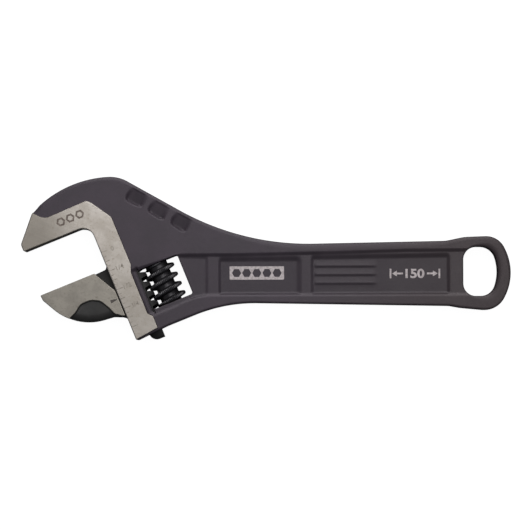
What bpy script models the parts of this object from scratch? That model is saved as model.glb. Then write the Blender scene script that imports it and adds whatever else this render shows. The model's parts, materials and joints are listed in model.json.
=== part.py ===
"""Adjustable wrench, 150 mm size: forged body, sliding jaw, knurl, knurl pin and knurl spring.

The wrench lies on its back. +X runs along the handle from the head to the hanging ring, and +Z
is up through its thickness. Lengths are in millimetres until the last step, then metres.
Two flat coordinate systems are used while drawing:
  handle frame: x along the handle, y across it, both from the handle's own centre line;
  head frame:   s along the jaw's slide (positive opens), t towards the jaw tips, both from the
                inner corner where the fixed jaw's face meets the front edge of the head.
"""
import math

import bmesh
import bpy
from mathutils import Matrix, Vector

MM = 0.001

# Driving dimensions, millimetres
HEAD_ANGLE = math.radians(22.0)      # slide direction against the handle's cross direction
CORNER_Y = 15.6                      # inner corner of the jaws above the handle's centre line
LAND_HALF = 5.2                      # half thickness over the ground lands
BODY_HALF = 4.85                     # half thickness of the forged head
HANDLE_PROFILE = ((30.0, 4.85), (56.0, 4.2), (110.0, 3.9), (122.0, 3.75), (134.0, 3.6))
EDGE_ROUND = 1.1                     # rounding of the forging's edges
OPENING_AT_REST = 14.8
GAP = 0.3                            # clearance between parts that touch

RAIL_T = -8.0                        # slide rail axis
RAIL_RADIUS = 3.75
RAIL_TOP = 13.7
RAIL_END = 41.6
BORE_RADIUS = RAIL_RADIUS + 0.25
BORE_TOP = RAIL_TOP - OPENING_AT_REST - 0.6
NECK_HALF = 2.0
NOSE_REACH = 3.0                     # rounding at the lower front of the rail's end
NOSE_T = (-3.0, -4.2, -5.0, -8.6)
RACK_ROOT_T = -8.7
RACK_TIP_T = -10.75
RACK_FIRST = 14.85                   # centre of the rack's first tooth at rest
RACK_TEETH = 8
TOOTH_TIP_HALF = 0.6
TOOTH_ROOT_HALF = 1.0

PITCH = 3.175                        # 1/8 inch, knurl and rack
KNURL_T = -15.0                      # knurl axis
KNURL_TOP = 19.4
KNURL_END = 32.05
KNURL_RADIUS = 5.1
KNURL_CORE = 3.2
KNURL_BORE = 1.45
KNURL_CREST = 22.8                   # a crest on the rack's side
CREST_HALF = 0.5
THREAD_ROOT_HALF = 0.8
KNURL_CHAMFER = 0.8
COLLAR_RADIUS = 3.9
COLLAR_LENGTH = 0.5
THREAD_STEPS = 28                    # around one turn
SPRING_POCKET_RADIUS = 2.35
SPRING_POCKET_TOP = 27.0

WINDOW_TOP = 19.1
WINDOW_END = 32.35
WINDOW_NEAR = -8.9
WINDOW_FAR = -22.06
WINDOW_ROUNDING = 0.7

PIN_RADIUS = 1.25
PIN_TOP = 16.0
PIN_SCREW_TOP = 34.4
PIN_SCREW_RADIUS = 1.7
PIN_END = 38.55
PIN_HOLE_CLEARANCE = 0.25
PIN_TIP_CHAMFER = 0.3
DRIVER_SLOT = (5.0, 0.55, 1.2)       # length, width and twice the depth
DRIVER_SLOT_TURN = math.radians(30.0)

SPRING_MEAN_RADIUS = 1.85
SPRING_WIRE = 0.45
SPRING_TURNS = 5

PANEL_TOP = ((28.8, 6.0, 1.5), (45.0, 6.0, 40.0), (78.0, 6.65, 40.0), (100.0, 7.3, 40.0))
PANEL_BOTTOM = -6.6
PANEL_END = 121.0                    # inside the hang hole, so that the panel runs out into it
PANEL_DEPTH = 0.42
WINDOW_POCKET_DEPTH = 0.75
WINDOW_POCKET_X = 37.0
WINDOW_POCKET_Y = (4.8, -5.9)
POCKET_DEPTH = 0.92
POCKET_CORNER = 1.2
POCKETS = (((41.0, 4.7), (66.1, 4.9), (66.1, -5.95), (41.0, -5.95)),
           ((70.3, 5.2), (113.4, 5.8), (113.4, -5.95), (70.3, -5.95)))
GRIP_RIDGES = (3.4, 0.7, -2.05)
GRIP_RIDGE_X = (71.0, 90.9)
GRIP_RIDGE_WIDTH = 1.8
GRIP_RIDGE_HEIGHT = 0.35             # above the pocket's floor
SCALLOPS = ((15.0, 24.1), (21.9, 20.2), (28.8, 16.2))
SCALLOP_SIZE = (6.0, 5.0, 2.6)
SCALLOP_DEPTH = 0.7
SCALLOP_SLOPE = math.radians(-29.2)
THROUGH = 8.0                        # half height of a cutter that goes right through
CHORD_ERROR = 0.03                   # how far an arc's chords stay from the true arc

# The outline, as (x, y, corner radius) in the handle frame or (s, t, corner radius) in the head's
BACK_AND_HANDLE = (
    (-6.3, 30.27, 35.0), (9.1, 31.16, 11.5), (48.3, 9.23, 84.0), (112.6, 10.41, 10.0),
    (118.5, 11.62, 14.0), (129.45, 12.0, 6.5), (135.1, 0.05, 16.8), (129.2, -11.75, 7.0),
    (124.0, -11.62, 14.0), (117.2, -10.98, 10.0), (113.6, -10.33, 8.0), (42.8, -9.06, 50.0))
HEAD_CHIN = ((38.9, -11.0, 6.0), (39.07, -8.0, 1.3), (37.0, -1.5, 1.3))
JAW_CORE = ((2.0, -1.5, 2.0), (-1.5, 4.0, 1.5), (-1.5, 19.0, 1.3), (-8.6, 16.2, 1.3),
            (-10.2, 14.9, 1.3), (-11.85, 12.3, 3.0))
LAND = ((39.6, 0.0, 0.8), (0.0, 0.0, 3.8), (0.0, 22.4, 0.5), (-2.4, 22.4, 1.5), (-10.05, 15.65, 0.6),
        (-10.1, 15.0, 0.2), (-8.0, 13.3, 1.5), (-7.2, 11.6, 2.0), (-7.5, -2.0, 1.6),
        (-6.2, -3.2, 1.5), (0.2, -7.35, 2.0), (16.6, -7.45, 1.0), (18.9, -6.5, 1.0),
        (32.9, -6.5, 0.8), (34.2, -7.8, 0.8), (39.08, -7.8, 0.2))
HANG_HOLE = ((118.1, 8.5, 4.2), (127.4, 8.5, 5.0), (129.55, 0.6, 14.0), (127.4, -7.2, 4.8),
             (118.1, -7.2, 4.0))
BLADE = ((14.8, 22.75, 0.3), (16.6, 22.6, 0.8), (28.6, 16.2, 17.0), (29.85, 3.8, 3.0),
         (31.4, 0.3, 0.3), (22.3, 0.3, 1.0), (14.8, 4.4, 0.3))
NECK = ((13.4, -8.0, 0.1), (13.4, -0.4, 0.4), (14.9, 0.7, 0.8), (15.1, 4.6, 0.2), (21.0, 6.0, 0.2),
        (29.0, 4.0, 0.2), (31.6, 0.35, 0.5), (38.6, -4.9, 3.0), (39.6, -8.0, 0.1))

SLIDE = Vector((math.sin(HEAD_ANGLE), -math.cos(HEAD_ANGLE), 0.0))
TIPWARD = Vector((-math.cos(HEAD_ANGLE), -math.sin(HEAD_ANGLE), 0.0))
CORNER = Vector((0.0, CORNER_Y, 0.0))


def head_point(s, t):
    """A head frame point in the handle frame."""
    return CORNER + SLIDE * s + TIPWARD * t


def head_matrix(s, t):
    """Frame with +Z along the slide and +X towards the jaw tips, at a head frame point."""
    back = SLIDE.cross(TIPWARD)
    turn = Matrix((TIPWARD, back, SLIDE)).transposed().to_4x4()
    return Matrix.Translation(head_point(s, t)) @ turn


def from_head(corners):
    """Head frame corners as handle frame corners."""
    placed = []
    for s, t, radius in corners:
        point = head_point(s, t)
        placed.append((point.x, point.y, radius))
    return placed


def rounded(corners):
    """Points of a closed outline whose corners are replaced by arcs."""
    points = []
    count = len(corners)
    for index, (x, y, radius) in enumerate(corners):
        here = Vector((x, y))
        before = (Vector(corners[index - 1][:2]) - here).normalized()
        after = (Vector(corners[(index + 1) % count][:2]) - here).normalized()
        turn = math.pi - before.angle(after)
        if radius <= 0.0 or turn < 1e-4:
            points.append(here)
            continue
        reach = radius * math.tan(turn / 2.0)
        middle = here + (before + after).normalized() * radius / math.cos(turn / 2.0)
        start = here + before * reach - middle
        side = 1.0 if before.cross(after) < 0.0 else -1.0
        step = 2.0 * math.acos(1.0 - min(0.5, CHORD_ERROR / radius))
        pieces = max(2, math.ceil(turn / step))
        for piece in range(pieces + 1):
            angle = side * turn * piece / pieces
            spoke = Vector((start.x * math.cos(angle) - start.y * math.sin(angle),
                            start.x * math.sin(angle) + start.y * math.cos(angle)))
            points.append(middle + spoke)
    return points


def remove_old_objects():
    for old in list(bpy.data.objects):
        bpy.data.objects.remove(old, do_unlink=True)


def new_collection(name):
    group = bpy.data.collections.new(name)
    bpy.context.scene.collection.children.link(group)
    return group


def new_object(name, mesh, group):
    body = bpy.data.objects.new(name, mesh)
    group.objects.link(body)
    return body


def finish_mesh(mesh, weld=0.002):
    """Weld loose caps and turn every face outwards."""
    work = bmesh.new()
    work.from_mesh(mesh)
    bmesh.ops.remove_doubles(work, verts=work.verts, dist=weld)
    bmesh.ops.recalc_face_normals(work, faces=work.faces)
    work.to_mesh(mesh)
    work.free()


def mesh_from_curve(curve, name, group):
    """Turn a curve into a closed mesh object and remove the curve."""
    drawn = bpy.data.objects.new(name + "_curve", curve)
    group.objects.link(drawn)
    bpy.context.view_layer.update()
    evaluated = drawn.evaluated_get(bpy.context.evaluated_depsgraph_get())
    mesh = bpy.data.meshes.new_from_object(evaluated)
    mesh.name = name
    finish_mesh(mesh)
    body = new_object(name, mesh, group)
    body.matrix_world = drawn.matrix_world
    bpy.data.objects.remove(drawn)
    bpy.data.curves.remove(curve)
    return body


def poly_spline(curve, points, closed):
    spline = curve.splines.new("POLY")
    spline.points.add(len(points) - 1)
    for target, point in zip(spline.points, points):
        target.co = (*point, 1.0)
    spline.use_cyclic_u = closed
    return spline


def plate(name, corners, low, high, group, edge=0.0):
    """A flat outline given thickness, from z low to z high, with rounded edges if asked."""
    curve = bpy.data.curves.new(name, "CURVE")
    curve.dimensions = "2D"
    curve.fill_mode = "BOTH"
    curve.extrude = (high - low) / 2.0
    points = [(point.x, point.y, 0.0) for point in rounded(corners)]
    poly_spline(curve, points, True)
    body = mesh_from_curve(curve, name, group)
    if edge > 0.0:
        round_rims(body.data, edge)
    body.location.z = (low + high) / 2.0
    return body


def round_rims(mesh, width):
    """Round the edges between a plate's flat faces and its side wall."""
    work = bmesh.new()
    work.from_mesh(mesh)
    bmesh.ops.dissolve_limit(work, angle_limit=math.radians(0.5), verts=work.verts, edges=work.edges)
    rims = [edge for edge in work.edges if abs(edge.verts[0].co.z - edge.verts[1].co.z) < 0.001
            and abs(edge.calc_face_angle(0.0)) > math.radians(60.0)]
    bmesh.ops.bevel(work, geom=rims, offset=width, segments=2, profile=0.5, affect="EDGES",
                    clamp_overlap=False)
    work.to_mesh(mesh)
    work.free()


def box(name, size, matrix, group, rounding=0.0):
    work = bmesh.new()
    bmesh.ops.create_cube(work, size=1.0)
    bmesh.ops.scale(work, vec=size, verts=work.verts)
    mesh = bpy.data.meshes.new(name)
    work.to_mesh(mesh)
    work.free()
    body = new_object(name, mesh, group)
    body.matrix_world = matrix
    if rounding > 0.0:
        bevel = body.modifiers.new("rounded_edges", "BEVEL")
        bevel.width = rounding
        bevel.segments = 3
    return body


def rod(name, radius, length, matrix, group, sides=32):
    """A round bar along +Z of the matrix, starting at its origin."""
    work = bmesh.new()
    bmesh.ops.create_cone(work, cap_ends=True, segments=sides, radius1=radius, radius2=radius,
                          depth=length, matrix=Matrix.Translation((0.0, 0.0, length / 2.0)))
    mesh = bpy.data.meshes.new(name)
    work.to_mesh(mesh)
    work.free()
    body = new_object(name, mesh, group)
    body.matrix_world = matrix
    return body


def turned(name, profile, matrix, group, sides=32):
    """A profile of (radius, height) points turned about the matrix's Z axis."""
    work = bmesh.new()
    line = [work.verts.new((radius, 0.0, height)) for radius, height in profile]
    for first, second in zip(line, line[1:]):
        work.edges.new((first, second))
    mesh = bpy.data.meshes.new(name)
    work.to_mesh(mesh)
    work.free()
    body = new_object(name, mesh, group)
    body.matrix_world = matrix
    screw = body.modifiers.new("turn", "SCREW")
    screw.steps = sides
    screw.render_steps = sides
    screw.use_merge_vertices = True
    screw.merge_threshold = 0.0001
    return body


def combine(target, other, operation, solver="EXACT"):
    step = target.modifiers.new(operation.lower() + "_" + other.name, "BOOLEAN")
    step.operation = operation
    step.object = other
    step.solver = solver


def hide_cutter(cutter):
    cutter.hide_render = True
    cutter.display_type = "WIRE"


def cut(target, *cutters):
    for cutter in cutters:
        combine(target, cutter, "DIFFERENCE")


def join(target, *others):
    for other in others:
        combine(target, other, "UNION")


def half_thickness(x):
    """Half thickness of the forging at a station along the handle."""
    if x <= HANDLE_PROFILE[0][0]:
        return HANDLE_PROFILE[0][1]
    for (x0, h0), (x1, h1) in zip(HANDLE_PROFILE, HANDLE_PROFILE[1:]):
        if x <= x1:
            return h0 + (h1 - h0) * (x - x0) / (x1 - x0)
    return HANDLE_PROFILE[-1][1]


def thin_handle(blank):
    """Cross-cut the blank at each profile station and draw its thickness in along the handle."""
    work = bmesh.new()
    work.from_mesh(blank.data)
    for x, _ in HANDLE_PROFILE:
        bmesh.ops.bisect_plane(work, geom=work.verts[:] + work.edges[:] + work.faces[:],
                               plane_co=(x, 0.0, 0.0), plane_no=(1.0, 0.0, 0.0))
    for vertex in work.verts:
        vertex.co.z *= half_thickness(vertex.co.x) / BODY_HALF
    work.to_mesh(blank.data)
    work.free()


def both_faces(name, corners, depth, group):
    """The same recess cutter for the front and the back face, its floor following the handle."""
    floor = BODY_HALF - depth
    front = plate(name + "_front", corners, floor, THROUGH, group)
    back = plate(name + "_back", corners, -THROUGH, -floor, group)
    for cutter in (front, back):
        cutter.data.transform(Matrix.Translation(cutter.location))
        cutter.location.z = 0.0
        thin_handle(cutter)
    return front, back


def panel_corners():
    """The shallow recess that frames the window and runs down the handle."""
    corners = [(*head_point(18.2, -6.6).xy, 0.6), (*head_point(18.6, -9.5).xy, 2.0)]
    corners += PANEL_TOP
    corners.append((PANEL_END, PANEL_TOP[-1][1] + 0.1, 0.5))
    corners.append((PANEL_END, PANEL_BOTTOM, 0.5))
    corners.append((38.0, PANEL_BOTTOM, 12.0))
    corners.append((33.0, -7.4, 4.0))
    corners.append((*head_point(34.0, -13.0).xy, 1.0))
    corners.append((*head_point(34.0, -7.7).xy, 0.5))
    corners.append((*head_point(33.2, -6.6).xy, 0.5))
    return corners


def window_pocket_corners():
    """The deeper recess between the window and the handle's first rib."""
    first, last = head_point(18.9, -22.3), head_point(33.6, -20.6)
    top, bottom = WINDOW_POCKET_Y
    return [(*first.xy, 0.5), (WINDOW_POCKET_X, top, 1.0), (WINDOW_POCKET_X, bottom, 1.0),
            (*last.xy, 1.5)]


def window_cutter(group):
    size = (WINDOW_NEAR - WINDOW_FAR, 2.0 * THROUGH, WINDOW_END - WINDOW_TOP)
    middle = ((WINDOW_TOP + WINDOW_END) / 2.0, (WINDOW_NEAR + WINDOW_FAR) / 2.0)
    return box("window_cutter", size, head_matrix(*middle), group, rounding=WINDOW_ROUNDING)


def slide_cutters(group):
    """The round bore of the rail, and the slot in the head's front edge for the jaw's neck."""
    length = RAIL_END + 2.0 - BORE_TOP
    bore = rod("rail_bore_cutter", BORE_RADIUS, length, head_matrix(BORE_TOP, RAIL_T), group, 40)
    width = 3.0 - RAIL_T
    slot_size = (width, 2.0 * (NECK_HALF + GAP), length)
    slot = box("neck_slot_cutter", slot_size,
               head_matrix(BORE_TOP + length / 2.0, RAIL_T + width / 2.0), group)
    return bore, slot


def pin_hole_cutter(group):
    radius = PIN_RADIUS + PIN_HOLE_CLEARANCE
    screw_radius = PIN_SCREW_RADIUS + PIN_HOLE_CLEARANCE
    top = PIN_TOP - GAP
    step = PIN_SCREW_TOP - GAP
    end = PIN_END + 3.0
    profile = ((0.0, end - top), (screw_radius, end - top), (screw_radius, step - top),
               (radius, step - top), (radius, 0.0), (0.0, 0.0))
    return turned("pin_hole_cutter", profile, head_matrix(top, KNURL_T), group)


def scallop_cutters(group):
    """Three shallow thumb hollows under the sloped top edge of the head, on both faces."""
    cutters = []
    height = BODY_HALF - SCALLOP_DEPTH + SCALLOP_SIZE[2] / 2.0
    for number, (x, y) in enumerate(SCALLOPS):
        for side in (1.0, -1.0):
            place = Matrix.Translation((x, y, side * height))
            turn = Matrix.Rotation(SCALLOP_SLOPE, 4, "Z")
            name = "scallop_cutter_%d_%s" % (number, "front" if side > 0.0 else "back")
            cutters.append(box(name, SCALLOP_SIZE, place @ turn, group, rounding=1.0))
    return cutters


def grip_ridges(group):
    ridges = []
    low, high = GRIP_RIDGE_X
    middle = (low + high) / 2.0
    floor = half_thickness(middle) * (1.0 - POCKET_DEPTH / BODY_HALF)
    size = (high - low, GRIP_RIDGE_WIDTH, 2.0 * GRIP_RIDGE_HEIGHT)
    for number, y in enumerate(GRIP_RIDGES):
        for side in (1.0, -1.0):
            name = "grip_ridge_%d_%s" % (number, "front" if side > 0.0 else "back")
            place = Matrix.Translation((middle, y, side * floor))
            ridges.append(box(name, size, place, group, rounding=0.4))
    return ridges


def make_forged_body(parts, tools):
    """Head, fixed jaw and handle in one forging."""
    outline = list(BACK_AND_HANDLE) + from_head(HEAD_CHIN) + from_head(JAW_CORE)
    body = plate("forged_body", outline, -BODY_HALF, BODY_HALF, parts, EDGE_ROUND)
    thin_handle(body)
    land = plate("land", from_head(LAND), -LAND_HALF, LAND_HALF, tools)
    join(body, land)
    panel = both_faces("panel_cutter", panel_corners(), PANEL_DEPTH, tools)
    pockets = list(both_faces("window_pocket_cutter", window_pocket_corners(),
                              WINDOW_POCKET_DEPTH, tools))
    for number, outline in enumerate(POCKETS):
        corners = [(x, y, POCKET_CORNER) for x, y in outline]
        pockets += both_faces("pocket_cutter_%d" % number, corners, POCKET_DEPTH, tools)
    hang_hole = plate("hang_hole_cutter", HANG_HOLE, -THROUGH, THROUGH, tools)
    cut(body, *panel, *pockets, *scallop_cutters(tools))
    join(body, *grip_ridges(tools))
    cut(body, window_cutter(tools), *slide_cutters(tools), pin_hole_cutter(tools), hang_hole)
    return body


def rail_end_cutter(group):
    """Rounds the lower front quarter of the rail."""
    start = RAIL_END - NOSE_REACH
    face = RAIL_END - 0.05
    beyond = RAIL_END + 2.0
    clear, shoulder, turn, flat = NOSE_T
    corners = ((start, clear, 0.0), (start, shoulder, 0.0), (face, turn, NOSE_REACH * 0.8),
               (face, flat, 0.0), (beyond, flat, 0.0), (beyond, clear, 0.0))
    return plate("rail_end_cutter", from_head(corners), -THROUGH, THROUGH, group)


def rack_gap_cutters(group):
    """Trapezoid gaps between the rack teeth, leaning with the knurl's thread.

    The first gap runs off the rail's top end and the last one off its lower end.
    """
    lead = math.atan(PITCH / (2.0 * math.pi * (KNURL_RADIUS + KNURL_CORE) / 2.0))
    depth = RACK_ROOT_T - RACK_TIP_T
    over = 1.0
    slope = (TOOTH_ROOT_HALF - TOOTH_TIP_HALF) / depth
    floor_half = PITCH / 2.0 - TOOTH_ROOT_HALF
    mouth_half = PITCH / 2.0 - TOOTH_TIP_HALF + slope * over
    runoff = 12.0
    cutters = []
    for number in range(RACK_TEETH + 1):
        middle = RACK_FIRST + (number - 0.5) * PITCH
        upper_floor, upper_mouth = -floor_half, -mouth_half
        lower_floor, lower_mouth = floor_half, mouth_half
        if number == 0:
            upper_floor = upper_mouth = -runoff
        if number == RACK_TEETH:
            lower_floor = lower_mouth = runoff
        outline = ((upper_floor, 0.0), (upper_mouth, depth + over), (lower_mouth, depth + over),
                   (lower_floor, 0.0))
        corners = [(middle + along, RACK_ROOT_T - out, 0.0) for along, out in outline]
        cutter = plate("rack_gap_cutter_%d" % number, from_head(corners), -THROUGH, THROUGH, group)
        pivot = head_point(middle, RACK_ROOT_T)
        lean = Matrix.Rotation(lead, 4, TIPWARD)
        cutter.matrix_world = Matrix.Translation(pivot) @ lean @ Matrix.Translation(-pivot)
        cutters.append(cutter)
    return cutters


def rack_tip_cutter(group):
    """Trims the tips of the rack teeth flat, clear of the knurl's core."""
    size = (3.0, 2.0 * THROUGH, RAIL_END - RAIL_TOP + 6.0)
    middle = (RAIL_END + RAIL_TOP) / 2.0
    return box("rack_tip_cutter", size, head_matrix(middle, RACK_TIP_T - 1.5), group)


def make_movable_jaw(parts, tools):
    """Blade, neck, round rail and rack in one forging."""
    jaw = plate("movable_jaw", from_head(BLADE), -LAND_HALF, LAND_HALF, parts)
    neck = plate("neck", from_head(NECK), -NECK_HALF, NECK_HALF, tools)
    rail = rod("rail", RAIL_RADIUS, RAIL_END - RAIL_TOP, head_matrix(RAIL_TOP, RAIL_T), tools, 40)
    join(jaw, neck, rail)
    cut(jaw, rail_end_cutter(tools), *rack_gap_cutters(tools), rack_tip_cutter(tools))
    return jaw


def thread_ridge(group, matrix):
    """The knurl's right-handed thread as one closed helical ridge, longer than the knurl."""
    turns = math.ceil((KNURL_END - KNURL_TOP) / PITCH) + 2
    depth = KNURL_RADIUS - KNURL_CORE
    slope = (THREAD_ROOT_HALF - CREST_HALF) / depth
    inner = KNURL_CORE - 0.6
    outer = KNURL_RADIUS + 0.6
    inner_half = CREST_HALF + slope * (KNURL_RADIUS - inner)
    outer_half = CREST_HALF + slope * (KNURL_RADIUS - outer)
    start = KNURL_CREST - KNURL_TOP
    first = start - math.ceil(start / PITCH + 0.5) * PITCH
    section = ((inner, -inner_half), (outer, -outer_half), (outer, outer_half), (inner, inner_half))
    steps = THREAD_STEPS
    work = bmesh.new()
    ring = [work.verts.new((radius, 0.0, first + height)) for radius, height in section]
    edges = [work.edges.new((ring[i], ring[(i + 1) % 4])) for i in range(4)]
    spun = bmesh.ops.spin(work, geom=ring + edges, cent=(0.0, 0.0, 0.0), axis=(0.0, 0.0, 1.0),
                          dvec=(0.0, 0.0, PITCH / steps), angle=math.tau * turns,
                          steps=steps * turns)
    last = [item for item in spun["geom_last"] if isinstance(item, bmesh.types.BMVert)]
    work.faces.new(ring)
    ends = sorted(last, key=lambda v: math.atan2(v.co.z - first - turns * PITCH,
                                                 math.hypot(v.co.x, v.co.y) - KNURL_CORE - 0.9))
    work.faces.new(ends)
    bmesh.ops.recalc_face_normals(work, faces=work.faces)
    mesh = bpy.data.meshes.new("thread_ridge")
    work.to_mesh(mesh)
    work.free()
    ridge = new_object("thread_ridge", mesh, group)
    ridge.matrix_world = matrix
    return ridge


def make_knurl(parts, tools):
    """The adjusting worm: core with bore and spring pocket, thread, and a small end collar."""
    matrix = head_matrix(KNURL_TOP, KNURL_T)
    length = KNURL_END - KNURL_TOP
    over = 1.0
    chamfer = KNURL_CHAMFER
    pocket = SPRING_POCKET_TOP - KNURL_TOP
    bore_profile = ((0.0, length + over), (SPRING_POCKET_RADIUS, length + over),
                    (SPRING_POCKET_RADIUS, pocket), (KNURL_BORE, pocket), (KNURL_BORE, -over),
                    (0.0, -over))
    envelope_profile = ((0.0, length), (KNURL_RADIUS - chamfer, length),
                        (KNURL_RADIUS, length - chamfer), (KNURL_RADIUS, chamfer + COLLAR_LENGTH),
                        (COLLAR_RADIUS, COLLAR_LENGTH), (COLLAR_RADIUS, 0.0), (0.0, 0.0))
    knurl = rod("knurl", KNURL_CORE, length, matrix, parts, 36)
    cut(knurl, turned("knurl_bore_cutter", bore_profile, matrix, tools, 28))
    join(knurl, thread_ridge(tools, matrix))
    combine(knurl, turned("knurl_envelope", envelope_profile, matrix, tools, 48), "INTERSECT")
    return knurl


def make_knurl_pin(parts, tools):
    """The axle of the knurl, with a slotted screw end at the edge of the head."""
    length = PIN_END - PIN_TOP
    step = PIN_SCREW_TOP - PIN_TOP
    tip = PIN_TIP_CHAMFER
    profile = ((0.0, length), (PIN_SCREW_RADIUS, length), (PIN_SCREW_RADIUS, step),
               (PIN_RADIUS, step), (PIN_RADIUS, tip), (PIN_RADIUS - tip, 0.0), (0.0, 0.0))
    pin = turned("knurl_pin", profile, head_matrix(PIN_TOP, KNURL_T), parts, 28)
    slot_place = head_matrix(PIN_END, KNURL_T) @ Matrix.Rotation(DRIVER_SLOT_TURN, 4, "Z")
    cut(pin, box("driver_slot_cutter", DRIVER_SLOT, slot_place, tools))
    return pin


def make_knurl_spring(parts):
    """A short compression spring in the knurl's pocket that takes up its end play."""
    top = SPRING_POCKET_TOP + GAP + SPRING_WIRE / 2.0
    bottom = WINDOW_END - GAP - SPRING_WIRE / 2.0
    steps = 16
    points = []
    for index in range(SPRING_TURNS * steps + 1):
        share = index / (SPRING_TURNS * steps)
        angle = math.tau * SPRING_TURNS * share
        points.append((SPRING_MEAN_RADIUS * math.cos(angle), SPRING_MEAN_RADIUS * math.sin(angle),
                       (bottom - top) * share))
    curve = bpy.data.curves.new("knurl_spring", "CURVE")
    curve.dimensions = "3D"
    curve.bevel_depth = SPRING_WIRE / 2.0
    curve.bevel_resolution = 1
    curve.use_fill_caps = True
    poly_spline(curve, points, False)
    spring = mesh_from_curve(curve, "knurl_spring", parts)
    spring.matrix_world = head_matrix(top, KNURL_T)
    return spring


def paint(body, colour, roughness, metallic):
    material = bpy.data.materials.new(body.name + "_material")
    material.use_nodes = True
    shader = material.node_tree.nodes["Principled BSDF"]
    shader.inputs["Base Color"].default_value = (*colour, 1.0)
    shader.inputs["Roughness"].default_value = roughness
    shader.inputs["Metallic"].default_value = metallic
    material.diffuse_color = (*colour, 1.0)
    body.data.materials.clear()
    body.data.materials.append(material)


def smooth(body, angle=30.0):
    body.data.shade_smooth()
    body.data.set_sharp_from_angle(angle=math.radians(angle))


def set_down(parts, tools, bodies):
    """Scale to metres, and put the middle of the wrench's box over the origin, its back on z = 0."""
    root = bpy.data.objects.new("wrench_root", None)
    parts.objects.link(root)
    for item in list(parts.objects) + list(tools.objects):
        if item is not root:
            item.parent = root
    bpy.context.view_layer.update()
    graph = bpy.context.evaluated_depsgraph_get()
    corners = []
    for body in bodies:
        seen = body.evaluated_get(graph)
        corners += [seen.matrix_world @ vertex.co for vertex in seen.data.vertices]
    low = Vector([min(point[axis] for point in corners) for axis in range(3)])
    high = Vector([max(point[axis] for point in corners) for axis in range(3)])
    root.scale = (MM, MM, MM)
    root.location = (-(low.x + high.x) / 2.0 * MM, -(low.y + high.y) / 2.0 * MM, -low.z * MM)


def main():
    remove_old_objects()
    parts = new_collection("adjustable_wrench")
    tools = new_collection("wrench_cutters")
    body = make_forged_body(parts, tools)
    jaw = make_movable_jaw(parts, tools)
    knurl = make_knurl(parts, tools)
    pin = make_knurl_pin(parts, tools)
    spring = make_knurl_spring(parts)
    paint(body, (0.075, 0.066, 0.072), 0.45, 0.6)
    paint(jaw, (0.30, 0.26, 0.23), 0.4, 0.9)
    paint(knurl, (0.035, 0.032, 0.035), 0.4, 0.7)
    paint(pin, (0.06, 0.055, 0.055), 0.4, 0.8)
    paint(spring, (0.45, 0.44, 0.42), 0.3, 1.0)
    for item in (body, jaw, knurl, pin, spring):
        smooth(item)
    for tool in tools.objects:
        hide_cutter(tool)
    set_down(parts, tools, (body, jaw, knurl, pin, spring))


main()
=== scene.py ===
"""Looks of the adjustable wrench: fine meshes, materials, marks, light and camera.

The wrench lies on its back on a pale floor. Its drawing is in millimetres, in the handle frame
(x along the handle, y across it, z through the thickness from the middle plane) or the head frame
(s along the jaw's slide, t towards the jaw tips), and each mesh is moved to the row frame last.
"""
import json
import math

import bmesh
import bpy
import numpy as np
from mathutils import Matrix, Vector
from mathutils.geometry import delaunay_2d_cdt
from mathutils.kdtree import KDTree


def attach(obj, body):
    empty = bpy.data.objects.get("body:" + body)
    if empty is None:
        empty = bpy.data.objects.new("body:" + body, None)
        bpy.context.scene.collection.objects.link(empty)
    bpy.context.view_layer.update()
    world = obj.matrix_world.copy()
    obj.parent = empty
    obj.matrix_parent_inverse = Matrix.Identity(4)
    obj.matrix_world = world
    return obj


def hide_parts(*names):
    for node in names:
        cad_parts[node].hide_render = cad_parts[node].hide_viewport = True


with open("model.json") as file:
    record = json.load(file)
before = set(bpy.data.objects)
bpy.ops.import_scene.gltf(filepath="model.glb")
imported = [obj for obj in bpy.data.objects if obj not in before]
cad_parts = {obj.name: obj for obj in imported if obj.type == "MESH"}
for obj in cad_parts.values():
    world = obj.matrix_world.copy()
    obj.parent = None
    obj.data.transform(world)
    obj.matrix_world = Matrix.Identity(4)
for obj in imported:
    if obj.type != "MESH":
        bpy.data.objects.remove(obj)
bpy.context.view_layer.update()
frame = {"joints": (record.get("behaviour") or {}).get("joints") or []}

MM = 0.001

# ---- driving sizes, millimetres
HEAD_ANGLE = math.radians(22.0)
CORNER_Y = 15.6  # inner corner of the jaws above the handle's centre line
LAND_HALF = 5.18  # half thickness over the ground lands and the movable jaw's ground faces
KNURL_AXIS_T = -15.0
KNURL_MIDDLE_S = 25.9  # the knurl joint's point on that axis
PITCH = 3.175
THROUGH = 8.0  # cutters reach this far above and below the middle plane
UNMOVED = Matrix.Identity(4)

SLIDE = Vector((math.sin(HEAD_ANGLE), -math.cos(HEAD_ANGLE), 0.0))
TIPWARD = Vector((-math.cos(HEAD_ANGLE), -math.sin(HEAD_ANGLE), 0.0))
CORNER = Vector((0.0, CORNER_Y, 0.0))


def head_point(s, t):
    """A head frame point in the handle frame."""
    return CORNER + SLIDE * s + TIPWARD * t


def from_head(corners):
    return [(*head_point(s, t).xy, radius) for s, t, radius in corners]


def joint_point(name):
    return Vector(next(j["pos_m"] for j in frame["joints"] if j["name"] == name))


# The handle frame's origin in the row frame, from the knurl's joint
ORIGIN = joint_point("knurl_spin") - head_point(KNURL_MIDDLE_S, KNURL_AXIS_T) * MM


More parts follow.
